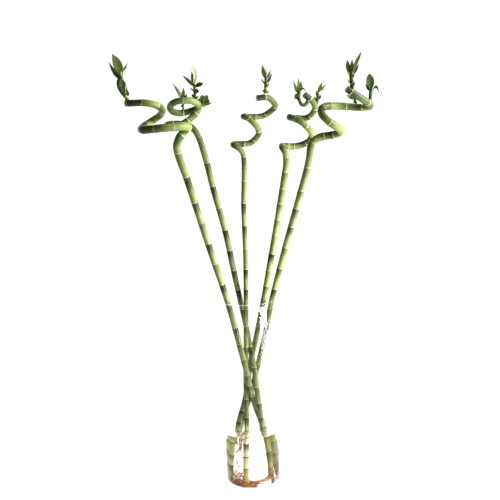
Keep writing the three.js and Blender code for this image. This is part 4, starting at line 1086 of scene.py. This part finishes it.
root_skin, tree, shader = new_material("root", IOR=1.4, Specular_IOR_Level=0.05)
where = add_node(tree, "ShaderNodeTexCoord").outputs["Object"]
speck = add_noise(tree, where, 500.0, 4.0)
tone = add_math(tree, "MULTIPLY_ADD", speck, 0.4, -0.2)
tone = add_math(tree, "ADD", read_value(tree, "tone"), tone)
skin = add_ramp(tree, tone, [
    (0.0, paint(44, 15, 4)), (0.3, paint(110, 46, 14)), (0.65, paint(186, 98, 38)),
    (1.0, paint(240, 184, 116)),
])
rough = add_math(tree, "MULTIPLY_ADD", speck, 0.3, 0.45)
feed(tree, shader, Base_Color=skin, Roughness=rough)
add_bump(tree, shader, speck, 0.5, 0.0003)
make_piece("root_mat", verts, faces, root_skin, "root_mat", values)

# The photographer's table: a white lit floor that is dimmer in front of the vase, a surround
# that is white behind the plant, a soft key light from the right, and two narrow softboxes
# low at the right, a bright and a dimmer one, that the glass mirrors as one upright band.
FLOOR_REACH = 40
floor_mesh = bpy.data.meshes.new("floor")
floor_mesh.from_pydata([(x * FLOOR_REACH, y * FLOOR_REACH, 0)
                        for x, y in ((-1, -1), (1, -1), (1, 1), (-1, 1))], [], [(0, 1, 2, 3)])
floor_paint, tree, shader = new_material("floor", Base_Color=(0.06, 0.06, 0.06, 1), Roughness=0.9,
                                         Emission_Color=(1, 1, 1, 1))
split = add_node(tree, "ShaderNodeSeparateXYZ",
                 {"Vector": add_node(tree, "ShaderNodeTexCoord").outputs["Object"]})
feed(tree, shader, Emission_Strength=add_range(tree, split.outputs["Y"], -1.6, -0.3, 0.75, 1.08))
floor_mesh.materials.append(floor_paint)
floor = new_object("floor", floor_mesh)
floor.location.z = -0.0005

world = bpy.data.worlds.new("surround")
bpy.context.scene.world = world
world.use_nodes = True
tree = world.node_tree
heading = add_node(tree, "ShaderNodeTexCoord").outputs["Generated"]
split = add_node(tree, "ShaderNodeSeparateXYZ", {"Vector": heading})
climb = add_math(tree, "MULTIPLY_ADD", split.outputs["Y"], -0.2, split.outputs["Z"])
low = add_range(tree, climb, 0.14, 0.5, 1.0, 0.0)
back = add_range(tree, split.outputs["Y"], -0.4, 0.1, 0.7, 1.0)
glow = add_math(tree, "MULTIPLY", low, back)
glow = add_math(tree, "MULTIPLY_ADD", glow, 0.93, 0.12)
background = tree.nodes["Background"]
background.inputs["Color"].default_value = (1, 1, 1, 1)
feed(tree, background, Strength=glow)


def softbox(name, place, aim, width, height, power):
    """A soft rectangular lamp at a place, turned to an aim; sizes in metres, power in watts."""
    lamp = bpy.data.lights.new(name, "AREA")
    lamp.shape = "RECTANGLE"
    lamp.size = width
    lamp.size_y = height
    lamp.energy = power
    light = new_object(name, lamp)
    light.location = place
    light.rotation_euler = (Vector(aim) - Vector(place)).to_track_quat("-Z", "Y").to_euler()
    light.visible_camera = False


softbox("key", (1.9, -0.4, 1.3), (0, 0, 0.55), 1.2, 1.2, 180)
softbox("strip_high", (0.548, -0.297, 0.24), (0.03, -0.05, 0.38), 0.34, 0.09, 10)
softbox("strip_low", (0.548, -0.297, 0.15), (0.03, -0.05, 0.3), 0.34, 0.09, 2.8)
bpy.context.scene.view_settings.view_transform = "Standard"

# The camera stands where the photographer's did: 1.85 m off, a little above the middle of
# the canes, tipped down and rolled a touch to one side.
TIP_DOWN = 9.47
ROLL = -2.2
camera_data = bpy.data.cameras.new("camera")
camera_data.sensor_width = 36
camera_data.lens = 66.02
camera = new_object("camera", camera_data)
camera.location = (0.0108, -1.85, 0.81)
tilt = Euler((math.radians(90 - TIP_DOWN), 0, 0)).to_matrix()
roll = Euler((0, 0, math.radians(ROLL))).to_matrix()
camera.rotation_euler = (tilt @ roll).to_euler()
bpy.context.scene.camera = camera
